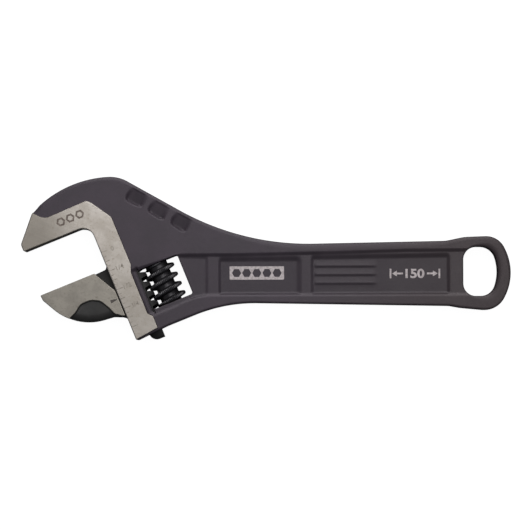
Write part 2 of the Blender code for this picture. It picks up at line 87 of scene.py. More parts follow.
# ---- flat outlines
def arc_outline(corners, spacing):
    """Evenly spaced points of a closed outline whose corners are replaced by arcs."""
    stops = []
    count = len(corners)
    for index, (x, y, radius) in enumerate(corners):
        here = Vector((x, y))
        before = (Vector(corners[index - 1][:2]) - here).normalized()
        after = (Vector(corners[(index + 1) % count][:2]) - here).normalized()
        turn = math.pi - before.angle(after)
        if radius <= 0.0 or turn < 1e-4:
            stops.append(here)
            continue
        reach = radius * math.tan(turn / 2.0)
        middle = here + (before + after).normalized() * radius / math.cos(turn / 2.0)
        start = here + before * reach - middle
        side = 1.0 if before.cross(after) < 0.0 else -1.0
        pieces = max(2, math.ceil(turn / min(0.26, 0.75 * spacing / radius)))
        for piece in range(pieces + 1):
            angle = side * turn * piece / pieces
            stops.append(middle + Vector((start.x * math.cos(angle) - start.y * math.sin(angle),
                                          start.x * math.sin(angle) + start.y * math.cos(angle))))
    points = []
    for here, there in zip(stops, stops[1:] + stops[:1]):
        length = (there - here).length
        if length < 1e-5:
            continue
        pieces = max(1, math.ceil(length / spacing))
        points += [here.lerp(there, piece / pieces) for piece in range(pieces)]
    points = np.array([tuple(point) for point in points])
    return points if loop_area(points) > 0.0 else points[::-1]


def loop_area(loop):
    ahead = np.roll(loop, -1, axis=0)
    return 0.5 * float(np.sum(loop[:, 0] * ahead[:, 1] - ahead[:, 0] * loop[:, 1]))


def unit(vectors):
    return vectors / np.maximum(np.linalg.norm(vectors, axis=1, keepdims=True), 1e-9)


def right_of(along):
    """Unit normals to the right of flat directions: outwards, on a counter-clockwise loop."""
    return unit(np.stack([along[:, 1], -along[:, 0]], axis=1))


def loop_normals(loop):
    return right_of(np.roll(loop, -1, axis=0) - np.roll(loop, 1, axis=0))


def inside(points, loop):
    """Even-odd test of many points against one loop."""
    result = np.zeros(len(points), bool)
    ahead = np.roll(loop, -1, axis=0)
    for (x0, y0), (x1, y1) in zip(loop, ahead):
        if y0 == y1:
            continue
        crosses = (y0 > points[:, 1]) != (y1 > points[:, 1])
        result ^= crosses & (points[:, 0] < (x1 - x0) * (points[:, 1] - y0) / (y1 - y0) + x0)
    return result


def signed_distance(points, loop, reach=None):
    """Distance to a loop, negative inside it; past reach it is only some larger number."""
    points = np.asarray(points, float)
    result = np.full(len(points), 1e3)
    near = np.ones(len(points), bool)
    if reach is not None:
        low, high = loop.min(axis=0) - reach, loop.max(axis=0) + reach
        near = np.all((points >= low) & (points <= high), axis=1)
    chosen = points[near]
    square = np.full(len(chosen), 1e6)
    for start, end in zip(loop, np.roll(loop, -1, axis=0)):
        span = end - start
        length = span @ span
        if length < 1e-12:
            continue
        offset = chosen - start
        share = np.clip(offset @ span / length, 0.0, 1.0)
        gap = offset - share[:, None] * span
        square = np.minimum(square, np.einsum("ij,ij->i", gap, gap))
    distance = np.sqrt(square)
    result[near] = np.where(inside(chosen, loop), -distance, distance)
    return result


# ---- height field solids
def smooth_step(share):
    share = np.clip(share, 0.0, 1.0)
    return share * share * (3.0 - 2.0 * share)


def sunk(points, loop, depth, wall):
    """A recess inside a loop, whose wall is centred on the loop."""
    return depth * smooth_step(0.5 - signed_distance(points, loop, wall) / wall)


def rounding_drop(distance, width, height):
    """How far a quarter-ellipse edge has fallen at a distance from the rim."""
    share = 1.0 - np.clip(distance / width, 0.0, 1.0)
    return height * (1.0 - np.sqrt(np.maximum(0.0, 1.0 - share * share)))


RING_LIMIT = 0.96  # a ring's point nearer than this share of its offset is left out
RIM_LIMIT = 0.9  # a side wall's level stays under this share of the rim's height


class Drawing:
    """Points and lines of a flat drawing, which become the triangles of a face."""

    def __init__(self):
        self.points = []
        self.lines = []

    def add_line(self, points, keep=None):
        """Adds a closed line, without the stretches that have an end that is not kept."""
        first = len(self.points)
        self.points += [Vector(point) for point in points]
        count = len(points)
        for index in range(count):
            after = (index + 1) % count
            if keep is None or (keep[index] and keep[after]):
                self.lines.append((first + index, first + after))

    def add_rings(self, loop, offsets):
        """Copies of a loop at signed offsets, left out where they would fold over."""
        normals = loop_normals(loop)
        for offset in offsets:
            moved = loop + normals * offset
            distance = np.abs(signed_distance(moved, loop))
            self.add_line(moved, distance > abs(offset) * RING_LIMIT - 1e-4)

    def add_filling(self, loop, spacing, clearance):
        """A triangular grid inside a loop, clear of the lines that are already drawn."""
        tree = KDTree(len(self.points))
        for index, point in enumerate(self.points):
            tree.insert((*point, 0.0), index)
        tree.balance()
        low, high = loop.min(axis=0), loop.max(axis=0)
        rows = np.arange(low[1], high[1], spacing * math.sqrt(0.75))
        grid = []
        for number, y in enumerate(rows):
            shift = 0.5 * spacing * (number % 2)
            grid += [(x, y) for x in np.arange(low[0] + shift, high[0], spacing)]
        grid = np.array(grid)
        grid = grid[inside(grid, loop)]
        for x, y in grid:
            _, _, distance = tree.find((x, y, 0.0))
            if distance > clearance:
                self.points.append(Vector((x, y)))

    def triangles(self, border, holes):
        """Triangles between the border and the holes, as (points, triangles)."""
        points, _, faces, _, _, _ = delaunay_2d_cdt(self.points, self.lines, [], 0, 1e-4)
        points = np.array([tuple(point) for point in points])
        faces = np.array([face for face in faces if len(face) == 3])
        middles = points[faces].mean(axis=1)
        kept = inside(middles, border)
        for hole in holes:
            kept &= ~inside(middles, hole)
        faces = faces[kept]
        corners = points[faces]
        one, two = corners[:, 1] - corners[:, 0], corners[:, 2] - corners[:, 0]
        turned = one[:, 0] * two[:, 1] - one[:, 1] * two[:, 0] < 0.0
        faces[turned] = faces[turned][:, ::-1]
        used, faces = np.unique(faces, return_inverse=True)
        return points[used], faces.reshape(-1, 3)


def rim_edges(faces):
    """Directed edges that belong to one triangle only."""
    pairs = np.concatenate([faces[:, [0, 1]], faces[:, [1, 2]], faces[:, [2, 0]]])
    seen = set(map(tuple, pairs.tolist()))
    return np.array([pair for pair in pairs.tolist() if (pair[1], pair[0]) not in seen])


def rim_normals(points, rim):
    """Outward flat normals at the rim's points."""
    normals = np.zeros((len(points), 2))
    sides = right_of(points[rim[:, 1]] - points[rim[:, 0]])
    np.add.at(normals, rim[:, 0], sides)
    np.add.at(normals, rim[:, 1], sides)
    return unit(normals)


def solid_from_face(points, faces, heights, lean, wall):
    """A closed solid: the face at its heights, its mirror image, and a side wall between them.

    lean gives how far the flash line stands out from the rim at flat points. wall lists levels
    of the upper half, the highest first, as (height, share of that distance).
    """
    count = len(points)
    rim = rim_edges(faces)
    rim_points = np.unique(rim)
    normals = rim_normals(points, rim)[rim_points]
    flat = points[rim_points]
    out = lean(flat)
    vertices = [np.column_stack([points, heights]), np.column_stack([points, -heights])]
    levels = wall + [(-height, share) for height, share in reversed(wall)]
    for height, share in levels:
        level = np.sign(height) * np.minimum(abs(height), RIM_LIMIT * heights[rim_points])
        moved = flat + normals * (share * out)[:, None]
        vertices.append(np.column_stack([moved, level]))
    polygons = [tuple(face) for face in faces.tolist()]
    polygons += [(c + count, b + count, a + count) for a, b, c in faces.tolist()]
    bases = [2 * count + level * len(rim_points) for level in range(len(levels))]
    chains = {point: [point, *(base + index for base in bases), point + count]
              for index, point in enumerate(rim_points.tolist())}
    for start, end in rim.tolist():
        left, right = chains[start], chains[end]
        for step in range(len(left) - 1):
            polygons.append((left[step], left[step + 1], right[step + 1], right[step]))
    mesh = bpy.data.meshes.new("solid")
    mesh.from_pydata(np.concatenate(vertices).tolist(), [], polygons)
    mesh.validate()
    return mesh


# ---- meshes and Booleans
def new_object(name, data):
    item = bpy.data.objects.new(name, data)
    bpy.context.scene.collection.objects.link(item)
    return item


def evaluated_mesh(item):
    """A new mesh of an object as its modifiers or its text settings make it."""
    bpy.context.view_layer.update()
    graph = bpy.context.evaluated_depsgraph_get()
    return bpy.data.meshes.new_from_object(item.evaluated_get(graph))


def combined(mesh, tools, operation="DIFFERENCE"):
    """A mesh cut by, joined to or clipped by other meshes, one after the other."""
    target = new_object("target", mesh)
    helpers = []
    for tool in tools:
        helper = new_object("tool", tool)
        step = target.modifiers.new("step", "BOOLEAN")
        step.operation = operation
        step.object = helper
        step.solver = "MANIFOLD"
        helpers.append(helper)
    result = evaluated_mesh(target)
    for item in [target, *helpers]:
        bpy.data.objects.remove(item)
    return result


def mesh_from_bmesh(work, matrix=UNMOVED):
    """A mesh of the work, moved by the matrix, with its faces turned outwards."""
    bmesh.ops.transform(work, matrix=matrix, verts=work.verts)
    bmesh.ops.recalc_face_normals(work, faces=work.faces)
    mesh = bpy.data.meshes.new("tool")
    work.to_mesh(mesh)
    work.free()
    return mesh


def merged(meshes):
    work = bmesh.new()
    for mesh in meshes:
        work.from_mesh(mesh)
    return mesh_from_bmesh(work)


def head_matrix(s, t):
    """Frame with +Z along the slide and +X towards the jaw tips, at a head frame point."""
    back = SLIDE.cross(TIPWARD)
    turn = Matrix((TIPWARD, back, SLIDE)).transposed().to_4x4()
    return Matrix.Translation(head_point(s, t)) @ turn


def stitch(work, rings):
    """Faces between neighbouring rings of points; a ring can be a single point."""
    sides = max(len(ring) for ring in rings)
    for low, high in zip(rings, rings[1:]):
        for index in range(sides):
            after = (index + 1) % sides
            corners = [low[index % len(low)], low[after % len(low)],
                       high[after % len(high)], high[index % len(high)]]
            face = [v for i, v in enumerate(corners) if v not in corners[:i]]
            if len(face) > 2:
                work.faces.new(face)


def turned(profile, matrix, sides=96):
    """A closed solid turned from (radius, height) points; the first and last are on the axis."""
    work = bmesh.new()
    rings = []
    for radius, height in profile:
        angles = [math.tau * index / sides for index in range(sides)] if radius > 0.0 else [0.0]
        rings.append([work.verts.new((radius * math.cos(a), radius * math.sin(a), height))
                      for a in angles])
    stitch(work, rings)
    return mesh_from_bmesh(work, matrix)


def block(size, matrix):
    work = bmesh.new()
    bmesh.ops.create_cube(work, size=1.0)
    bmesh.ops.scale(work, vec=size, verts=work.verts)
    return mesh_from_bmesh(work, matrix)


def prism(corners, low, high, spacing=1.0, matrix=UNMOVED):
    """A flat outline with thickness."""
    loop = arc_outline(corners, spacing)
    work = bmesh.new()
    lower = [work.verts.new((x, y, low)) for x, y in loop]
    upper = [work.verts.new((x, y, high)) for x, y in loop]
    work.faces.new(lower[::-1])
    work.faces.new(upper)
    stitch(work, [lower, upper])
    return mesh_from_bmesh(work, matrix)


def numbers(items, field, width=3, kind=float):
    """One property of a mesh's points, edges or faces, as the rows of an array."""
    values = np.zeros(len(items) * width, kind)
    items.foreach_get(field, values)
    return values.reshape(-1, width)


def store(mesh, name, values):
    attribute = mesh.attributes.new(name, "FLOAT", "POINT")
    attribute.data.foreach_set("value", values.astype(np.float32))


FLAT_LIMIT = 0.15  # a point that stands out less than this gets no lighter edge, neither bare steel nor painted highlight


def mark_recess_shade(mesh, full, deep):
    """Stores how far each point lies below the outer faces, from 0 to 1 at the deep end, which the
    black finish turns into painted shade in recesses.
    """
    places = numbers(mesh.vertices, "co")
    store(mesh, "recess", np.clip((full(places[:, 0]) - np.abs(places[:, 2])) / deep, 0.0, 1.0))


def mark_wear_and_sheen(mesh):
    """Stores how strongly each point stands out, from 0 on flats to 1 on sharp edges, where the black
    finishes paint edges lighter, partly as bare steel and partly as painted highlight.
    """
    places, normals = numbers(mesh.vertices, "co"), numbers(mesh.vertices, "normal")
    edges = numbers(mesh.edges, "vertices", 2, np.int32)
    total, number = np.zeros(len(places)), np.zeros(len(places))
    for one, two in ((edges[:, 0], edges[:, 1]), (edges[:, 1], edges[:, 0])):
        gap = places[one] - places[two]
        length = np.maximum(np.einsum("ij,ij->i", gap, gap), 0.01)
        np.add.at(total, one, np.einsum("ij,ij->i", gap, normals[one]) / length)
        np.add.at(number, one, 1.0)
    store(mesh, "wear_and_sheen", np.clip(total / np.maximum(number, 1.0) - FLAT_LIMIT, 0.0, 1.0))


def show(name, mesh, materials, body, stands_for=(), sharp=35.0):
    """Places a finished mesh in the row frame, gives it its materials and name, and attaches it to
    its body in place of the parts it stands for.
    """
    mesh.materials.clear()
    for material in materials:
        mesh.materials.append(material)
    mesh.transform(Matrix.Translation(ORIGIN) @ Matrix.Scale(MM, 4))
    mesh.shade_smooth()
    mesh.set_sharp_from_angle(angle=math.radians(sharp))
    mesh.name = name
    item = new_object(name, mesh)
    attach(item, body)
    if stands_for:
        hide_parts(*stands_for)
    return item


# ---- forged body
# Outlines as (x, y, corner radius) in the handle frame or (s, t, corner radius) in the head frame
BACK_AND_HANDLE = (
    (-6.3, 30.27, 35.0), (9.1, 31.16, 11.5), (48.3, 9.23, 84.0), (112.6, 10.41, 10.0),
    (118.5, 11.62, 14.0), (129.45, 12.0, 6.5), (135.1, 0.05, 16.8), (129.2, -11.75, 7.0),
    (124.0, -11.62, 14.0), (117.2, -10.98, 10.0), (113.6, -10.33, 8.0), (42.8, -9.06, 50.0))
CHIN_AND_JAW = ((38.9, -11.0, 6.0), (39.6, 0.0, 0.8), (0.0, 0.0, 3.8), (0.0, 22.4, 0.5),
                (-2.4, 22.4, 1.5), (-10.05, 15.65, 0.6), (-11.85, 12.3, 3.0))
LAND_MASK = ((-15.0, 17.2, 0.0), (-10.1, 15.0, 0.4), (-8.0, 13.3, 1.5), (-7.2, 11.6, 2.0),
             (-7.5, -2.0, 1.6), (-6.2, -3.2, 1.5), (0.2, -7.35, 2.0), (16.6, -7.45, 1.0),
             (18.9, -6.5, 1.0), (32.9, -6.5, 0.8), (34.2, -7.8, 0.8), (38.2, -7.8, 0.3),
             (39.2, 0.5, 0.0), (46.0, 8.0, 0.0), (46.0, 32.0, 0.0), (-15.0, 32.0, 0.0))
HANG_HOLE = ((118.1, 8.5, 4.2), (127.4, 8.5, 5.0), (129.55, 0.6, 14.0), (127.4, -7.2, 4.8),
             (118.1, -7.2, 4.0))
WINDOW_NEAR = -8.9
WINDOW = ((19.1, WINDOW_NEAR, 0.7), (32.35, WINDOW_NEAR, 0.7), (32.35, -22.06, 0.7),
          (19.1, -22.06, 0.7))
HALF_PROFILE = ((24.0, 4.82), (56.0, 4.17), (110.0, 3.87), (122.0, 3.72), (134.0, 3.57))
# The shallow panel round the window and down the handle: its head part, then its handle part
PANEL_HEAD = ((34.0, -13.0, 1.0), (34.0, -7.9, 0.6), (33.2, -6.7, 0.5), (18.4, -6.7, 0.6),
              (18.7, -9.5, 2.0))
PANEL_HANDLE = ((28.6, 6.0, 1.5), (45.0, 6.0, 40.0), (78.0, 6.65, 40.0), (100.0, 7.3, 40.0),
                (121.0, 7.4, 0.5), (121.0, -6.6, 0.5), (38.0, -6.6, 12.0), (33.0, -7.4, 4.0))
PANEL_DEPTH = 0.45
PANEL_WALL = 1.3
# Basins: corners in the handle frame, each with the width of the wall on the side it starts
WINDOW_BASIN = ((28.0, 5.6, 1.4), (37.0, 5.3, 1.2), (37.0, -6.2, 1.2), (31.7, -7.83, 0.3))
POCKET_BASINS = (((41.05, 4.65, 2.0), (66.2, 4.85, 2.2), (66.2, -6.2, 1.2), (41.05, -6.2, 1.3)),
                 ((70.3, 5.2, 1.9), (113.4, 5.8, 1.4), (113.4, -6.2, 1.2), (70.3, -6.2, 1.5)))
WINDOW_BASIN_DEPTH = 0.24
POCKET_DEPTH = 0.5
GRIP_CRESTS = (2.7, 0.0, -2.75)  # grip ridges rise slowly from above and drop below the crest
GRIP_X = (70.5, 91.2)
GRIP_RISE, GRIP_DROP = 2.15, 1.0
GRIP_HEIGHT = 0.22
GRIP_FADES = (1.2, 1.8)  # how softly the ridges end on the left and on the right
RECESS_SHADE = 1.3  # depth below the faces at which the painted shade in recesses is darkest
DRAFT = 0.13  # how far the forged faces lean in from the flash line
DRAFT_FADE = 0.8  # over this distance from the machined faces the draft sets in
LAND_WALL = 0.3
HOLLOWS = (
    ((14.6, 29.6, 1.5), (11.0, 25.1, 1.2), (11.2, 23.2, 0.9), (14.4, 21.3, 0.9), (16.6, 20.9, 1.2),
     (18.0, 22.2, 2.2), (19.2, 26.6, 0.4)),
    ((22.3, 25.6, 1.5), (18.2, 21.6, 1.2), (18.1, 19.6, 0.9), (22.2, 16.95, 0.9), (23.8, 16.9, 1.2),
     (25.2, 18.9, 2.2), (26.6, 23.0, 0.4)),
    ((29.3, 21.9, 1.5), (25.3, 17.7, 1.2), (25.4, 15.6, 0.9), (29.0, 13.1, 0.9), (30.6, 13.0, 1.2),
     (32.0, 14.8, 2.2), (33.8, 18.6, 0.4)))
HOLLOW_DEPTH = 0.8
HOLLOW_SHORE = 0.8  # the hollows end this far from the back edge
HOLLOW_RUN = 4.0  # and reach their full depth this much further in
# The forging's upper edge: how wide, deep and round its chamfer is at each x, then its lower edge
EDGE_X = (45.0, 62.0, 106.0, 116.0)
EDGE_WIDTH = (0.95, 1.9, 1.8, 0.95)
EDGE_HEIGHT = (0.3, 0.48, 0.46, 0.3)
EDGE_POWER = (1.15, 2.0, 2.0, 1.15)
LOWER_EDGE_WIDTH, LOWER_EDGE_HEIGHT = 0.55, 0.16
EDGE_ROUNDING = (0.3, 0.25)  # width and height of the rounding on the rim and the hang hole
WINDOW_ROUNDING = (0.3, 0.2)
# The hang hole's chamfer grows between these x: its size before, and what is added after
HOLE_EDGE_X = (120.0, 127.0)
HOLE_EDGE_WIDTH, HOLE_EDGE_HEIGHT = (0.3, 1.5), (0.05, 0.4)
# The broad fall from the window's edge beside the rack: its depth, width, ends and their softness
RACK_FALL, RACK_FALL_WIDTH = 0.9, 2.1
RACK_FALL_S = (17.6, 34.2)
RACK_FALL_FADE = 1.6
# Where the drawing is dense: distances from each outline, below 0 inside it, or above a crest
RIM_RINGS = (-0.04, -0.1, -0.18, -0.3, -0.5, -0.72, -0.95, -1.2, -1.5, -1.9)
WINDOW_RINGS = (0.1, 0.3, 0.55, 0.85, 1.2, 1.5, 1.8)
HOLE_RINGS = (0.04, 0.12, 0.3, 0.6, 0.9, 1.3, 1.8)
BASIN_RINGS = (-1.3, -1.0, -0.75, -0.5, -0.25, 0.0, 0.25, 0.5, 0.75, 1.0, 1.3)
RIDGE_LINES = (1.7, 1.3, 0.95, 0.6, 0.3, 0.1, 0.0, -0.2, -0.4, -0.6, -0.8, -1.0)
HOLLOW_RINGS = (0.35, 0.12, 0.0, -0.25, -0.5, -0.8, -1.2, -1.7)
# Side wall levels as (height, share of the draft), down to the flash line
BODY_WALL = [(2.2, 0.55), (0.32, 0.9), (0.25, 1.0)]
BORE_TOP, BORE_END, BORE_RADIUS = -1.7, 44.0, 4.0
RAIL_T = -8.0  # axis of the bore and of the rail in it


def side_reaches(points, corners):
    """For each side of a convex outline: how far the points are inside it, and its wall width."""
    middle = np.mean([corner[:2] for corner in corners], axis=0)
    for index, (x0, y0, wall) in enumerate(corners):
        x1, y1, _ = corners[(index + 1) % len(corners)]
        side = np.array((y1 - y0, x0 - x1)) / math.hypot(x1 - x0, y1 - y0)
        if side @ (middle - (x0, y0)) < 0.0:
            side = -side
        yield (points - (x0, y0)) @ side, wall


def basin(points, corners, centred):
    """From 0 to 1: how far down a straight-sided recess each point is.

    The walls are centred on the outline, or start at it.
    """
    share = np.ones(len(points))
    for reach, wall in side_reaches(points, corners):
        share = share * smooth_step(reach / wall + (0.5 if centred else 0.0))
    return share


def edge_drop(points, depth):
    """How far the forging's edge has fallen: a chamfer, rounder along the handle."""
    x, y = points[:, 0], points[:, 1]
    upper = smooth_step(0.5 + y / 8.0)
    width = np.interp(x, EDGE_X, EDGE_WIDTH)
    height = np.interp(x, EDGE_X, EDGE_HEIGHT)
    width = LOWER_EDGE_WIDTH + (width - LOWER_EDGE_WIDTH) * upper
    height = LOWER_EDGE_HEIGHT + (height - LOWER_EDGE_HEIGHT) * upper
    share = 1.0 - np.clip(depth / width, 0.0, 1.0)
    return height * share ** np.interp(x, EDGE_X, EDGE_POWER) + rounding_drop(depth, *EDGE_ROUNDING)


def hole_drop(points, distance):
    """The hang hole's edge: broad on the ring's right side, slight elsewhere."""
    right = np.interp(points[:, 0], HOLE_EDGE_X, (0.0, 1.0))
    (width, wider), (height, higher) = HOLE_EDGE_WIDTH, HOLE_EDGE_HEIGHT
    share = 1.0 - np.clip(distance / (width + wider * right), 0.0, 1.0)
    return (height + higher * right) * share ** 2 + rounding_drop(distance, *EDGE_ROUNDING)


def window_drop(points, distance):
    """The window's edge: a small chamfer, and a broad fall beside the rack."""
    s, t = head_coordinates(points)
    beside = np.clip(1.0 - (t - WINDOW_NEAR) / RACK_FALL_WIDTH, 0.0, 1.0)
    beside = beside * (t > WINDOW_NEAR - 0.01)
    start, end = RACK_FALL_S
    ends = smooth_step((s - start) / RACK_FALL_FADE) * smooth_step((end - s) / RACK_FALL_FADE)
    return RACK_FALL * beside ** 2 * ends + rounding_drop(distance, *WINDOW_ROUNDING)


def grip_ridges(points):
    """Height of the three grip ridges above their pocket's floor."""
    x, y = points[:, 0], points[:, 1]
    height = np.zeros(len(points))
    for crest in GRIP_CRESTS:
        above = np.clip(1.0 - (y - crest) / GRIP_RISE, 0.0, 1.0) ** 2
        below = smooth_step(1.0 + (y - crest) / GRIP_DROP)
        height = np.maximum(height, np.where(y > crest, above, below))
    (low, high), (left, right) = GRIP_X, GRIP_FADES
    return GRIP_HEIGHT * height * smooth_step((x - low) / left) * smooth_step((high - x) / right)


def head_coordinates(points):
    """Head frame coordinates of handle frame points."""
    away = points - np.array(CORNER.xy)
    return away @ np.array(SLIDE.xy), away @ np.array(TIPWARD.xy)


class BodyShape:
    """The forging's loops, and its half thickness over any point of the drawing."""

    def __init__(self):
        outline = arc_outline(list(BACK_AND_HANDLE) + from_head(CHIN_AND_JAW), 0.5)
        self.mask = arc_outline(from_head(LAND_MASK), 0.5)
        self.rim = outline - loop_normals(outline) * self.draft(outline)[:, None]
        self.window = arc_outline(from_head(WINDOW), 0.4)
        self.hole = arc_outline(HANG_HOLE, 0.4)
        self.panel = arc_outline(from_head(PANEL_HEAD) + list(PANEL_HANDLE), 0.5)

    def draft(self, points):
        """Lean of the side wall: none on machined edges."""
        away = signed_distance(points, self.mask)
        return DRAFT * smooth_step(away / DRAFT_FADE)

    def wall_offset(self, points):
        """How far the flash line stands out from the rim of the faces."""
        away_from_window = signed_distance(points, self.window)
        return 0.75 * self.draft(points) * (away_from_window > 0.5)

    def half_thickness(self, points):
        x = points[:, 0]
        depth = -signed_distance(points, self.rim)
        black = np.interp(x, *zip(*HALF_PROFILE))
        black -= sunk(points, self.panel, PANEL_DEPTH, PANEL_WALL)
        black -= WINDOW_BASIN_DEPTH * basin(points, WINDOW_BASIN, True)
        for corners in POCKET_BASINS:
            black -= POCKET_DEPTH * basin(points, corners, True)
        black += grip_ridges(points)
        shore = smooth_step((depth - HOLLOW_SHORE) / 0.3)
        shore *= 0.22 + 0.78 * np.clip((depth - HOLLOW_SHORE) / HOLLOW_RUN, 0.0, 1.0)
        for corners in HOLLOWS:
            black -= HOLLOW_DEPTH * shore * basin(points, corners, False)
        black -= edge_drop(points, depth)
        black -= hole_drop(points, signed_distance(points, self.hole, 3.0))
        black -= window_drop(points, signed_distance(points, self.window, 1.0))
        land = LAND_HALF - rounding_drop(depth, 0.25, 0.18)
        share = smooth_step(0.5 - signed_distance(points, self.mask) / LAND_WALL)
        return black + (land - black) * share


def wall_rings(width):
    """Ring offsets for a wall centred on a loop, with guard rings that keep the flats flat."""
    rings = [width * share for share in (-0.5, -0.36, -0.2, 0.0, 0.2, 0.36, 0.5)]
    guards = [side * (width / 2.0 + step) for side in (-1.0, 1.0) for step in (0.1, 0.35)]
    return rings + guards


def add_clear_points(drawing, points, border, gap):
    """Adds those points that are well inside the border."""
    drawing.points += [Vector(point) for point in points[signed_distance(points, border) < -gap]]


def add_clear_rings(drawing, corners, radius, spacing, offsets, border, gap):
    """Adds unjoined rings of points round straight-sided corners, and gives back their loop."""
    loop = arc_outline([(x, y, radius) for x, y, _ in corners], spacing)
    normals = loop_normals(loop)
    for offset in offsets:
        add_clear_points(drawing, loop + normals * offset, border, gap)
    return loop


def body_face(shape):
    """Triangles of the forging's upper face, dense along every edge and wall."""
    drawing = Drawing()
    for loop, rings in ((shape.rim, RIM_RINGS), (shape.window, WINDOW_RINGS),
                        (shape.hole, HOLE_RINGS)):
        drawing.add_line(loop)
        drawing.add_rings(loop, rings)
    drawing.add_rings(shape.mask, wall_rings(LAND_WALL))
    drawing.add_rings(shape.panel, wall_rings(PANEL_WALL))
    for corners in (WINDOW_BASIN, *POCKET_BASINS):
        add_clear_rings(drawing, corners, 0.6, 0.45, BASIN_RINGS, shape.rim, 0.3)
    low, high = GRIP_X
    along = np.arange(low - 0.2, high + 0.5, 0.5)
    for crest in GRIP_CRESTS:
        for step in RIDGE_LINES:
            line = np.column_stack([along, np.full(len(along), crest + step)])
            add_clear_points(drawing, line, shape.rim, 0.3)
    for corners in HOLLOWS:
        loop = add_clear_rings(drawing, corners, 0.3, 0.4, HOLLOW_RINGS, shape.rim, 0.1)
        drawing.add_filling(loop, 0.4, 0.2)
    drawing.add_filling(shape.rim, 1.7, 0.75)
    return drawing.triangles(shape.rim, [shape.window, shape.hole])


def slide_cutters():
    """The bore for the jaw's rail, and the slot for its neck."""
    length = BORE_END - BORE_TOP
    bore = turned(((0, 0), (BORE_RADIUS, 0), (BORE_RADIUS, length), (0, length)),
                  head_matrix(BORE_TOP, RAIL_T))
    slot = block((11.0, 4.6, length), head_matrix((BORE_TOP + BORE_END) / 2.0, -2.5))
    return bore, slot


def pin_hole_cutter():
    top, step, end = 15.7, 34.1, 42.0
    narrow, wide = 1.5, 1.95
    return turned(((0, 0), (narrow, 0), (narrow, step - top), (wide, step - top),
                   (wide, end - top), (0, end - top)), head_matrix(top, KNURL_AXIS_T), 64)


def make_body(black, steel):
    shape = BodyShape()
    points, faces = body_face(shape)
    mesh = solid_from_face(points, faces, shape.half_thickness(points), shape.wall_offset,
                           BODY_WALL)
    mesh = combined(mesh, [*slide_cutters(), pin_hole_cutter()])
    middles = numbers(mesh.polygons, "center")
    machined = signed_distance(middles[:, :2], shape.mask) < 0.02
    mark_wear_and_sheen(mesh)
    mark_recess_shade(mesh, lambda x: np.interp(x, *zip(*HALF_PROFILE)), RECESS_SHADE)
    item = show("forged_body_skin", mesh, [black, steel], "body", ["forged_body"])
    item.data.polygons.foreach_set("material_index", machined.astype(np.int32))


# ---- movable jaw
BLADE = ((14.8, 22.75, 0.3), (16.6, 22.6, 0.8), (28.6, 16.2, 17.0), (29.85, 3.8, 3.0),
         (31.4, 0.3, 0.3), (22.3, 0.3, 1.0), (14.8, 4.4, 0.3))
NECK = ((13.4, -8.0, 0.1), (13.4, -0.4, 0.4), (14.9, 0.7, 0.8), (15.1, 4.6, 0.2), (21.0, 6.0, 0.2),
        (29.0, 4.0, 0.2), (31.6, 0.35, 0.5), (38.6, -4.9, 3.0), (39.6, -8.0, 0.1))
# The blade's unground belly: its border on the blade, then round outside the blade
BELLY = ((31.2, -0.5, 0.0), (30.6, 1.2, 0.5), (29.0, 3.3, 1.5), (26.4, 4.3, 4.0), (23.6, 5.9, 3.0),
         (22.2, 8.6, 4.0), (22.3, 12.2, 3.0), (24.1, 14.4, 4.0), (25.2, 17.2, 0.5),
         (31.0, 20.0, 0.0), (37.0, 8.0, 0.0), (37.0, -0.5, 0.0))
BELLY_DEPTH = 0.55
BELLY_SLOPE = 0.05  # its further fall for each millimetre into it
BELLY_WALL = 0.5
BELLY_ROUNDING = (2.4, 2.0)
GROUND_ROUNDING = (0.15, 0.1)
BLADE_WALL = [(1.8, 0.6), (0.32, 0.9), (0.25, 1.0)]
NECK_HALF = 2.0
RAIL_RADIUS = 3.75
RAIL_TOP, RAIL_END = 13.7, 41.6
RACK_ROOT_T, RACK_TIP_T = -8.7, -10.75
RACK_FIRST = 14.85
RACK_TEETH = 8
TOOTH_TIP_HALF, TOOTH_ROOT_HALF = 0.6, 1.0


class BladeShape:
    """The movable jaw's blade: ground faces, and a forged belly that falls away to the edge."""

    def __init__(self):
        outline = arc_outline(from_head(BLADE), 0.35)
        self.belly = arc_outline(from_head(BELLY), 0.35)
        self.rim = outline - loop_normals(outline) * self.draft(outline)[:, None]

    def draft(self, points):
        away = signed_distance(points, self.belly)
        return DRAFT * smooth_step(0.5 - away / DRAFT_FADE)

    def half_thickness(self, points):
        depth = -signed_distance(points, self.rim)
        ground = LAND_HALF - rounding_drop(depth, *GROUND_ROUNDING)
        away = signed_distance(points, self.belly)
        into = np.maximum(0.0, -away)
        forged = LAND_HALF - BELLY_DEPTH - BELLY_SLOPE * into - rounding_drop(depth, *BELLY_ROUNDING)
        share = smooth_step(0.5 - away / BELLY_WALL)
        return ground + (np.minimum(forged, ground) - ground) * share


def blade_mesh():
    shape = BladeShape()
    drawing = Drawing()
    drawing.add_line(shape.rim)
    steps = [1.0 - math.cos(math.radians(angle)) for angle in (14, 27, 40, 53, 66, 78, 90)]
    rings = [-BELLY_ROUNDING[0] * share for share in steps]
    drawing.add_rings(shape.rim, rings + [-0.07, -0.15])
    drawing.add_rings(shape.belly, wall_rings(BELLY_WALL))
    drawing.add_filling(shape.rim, 1.2, 0.55)
    points, faces = drawing.triangles(shape.rim, [])
    heights = shape.half_thickness(points)
    return solid_from_face(points, faces, heights, shape.draft, BLADE_WALL), shape


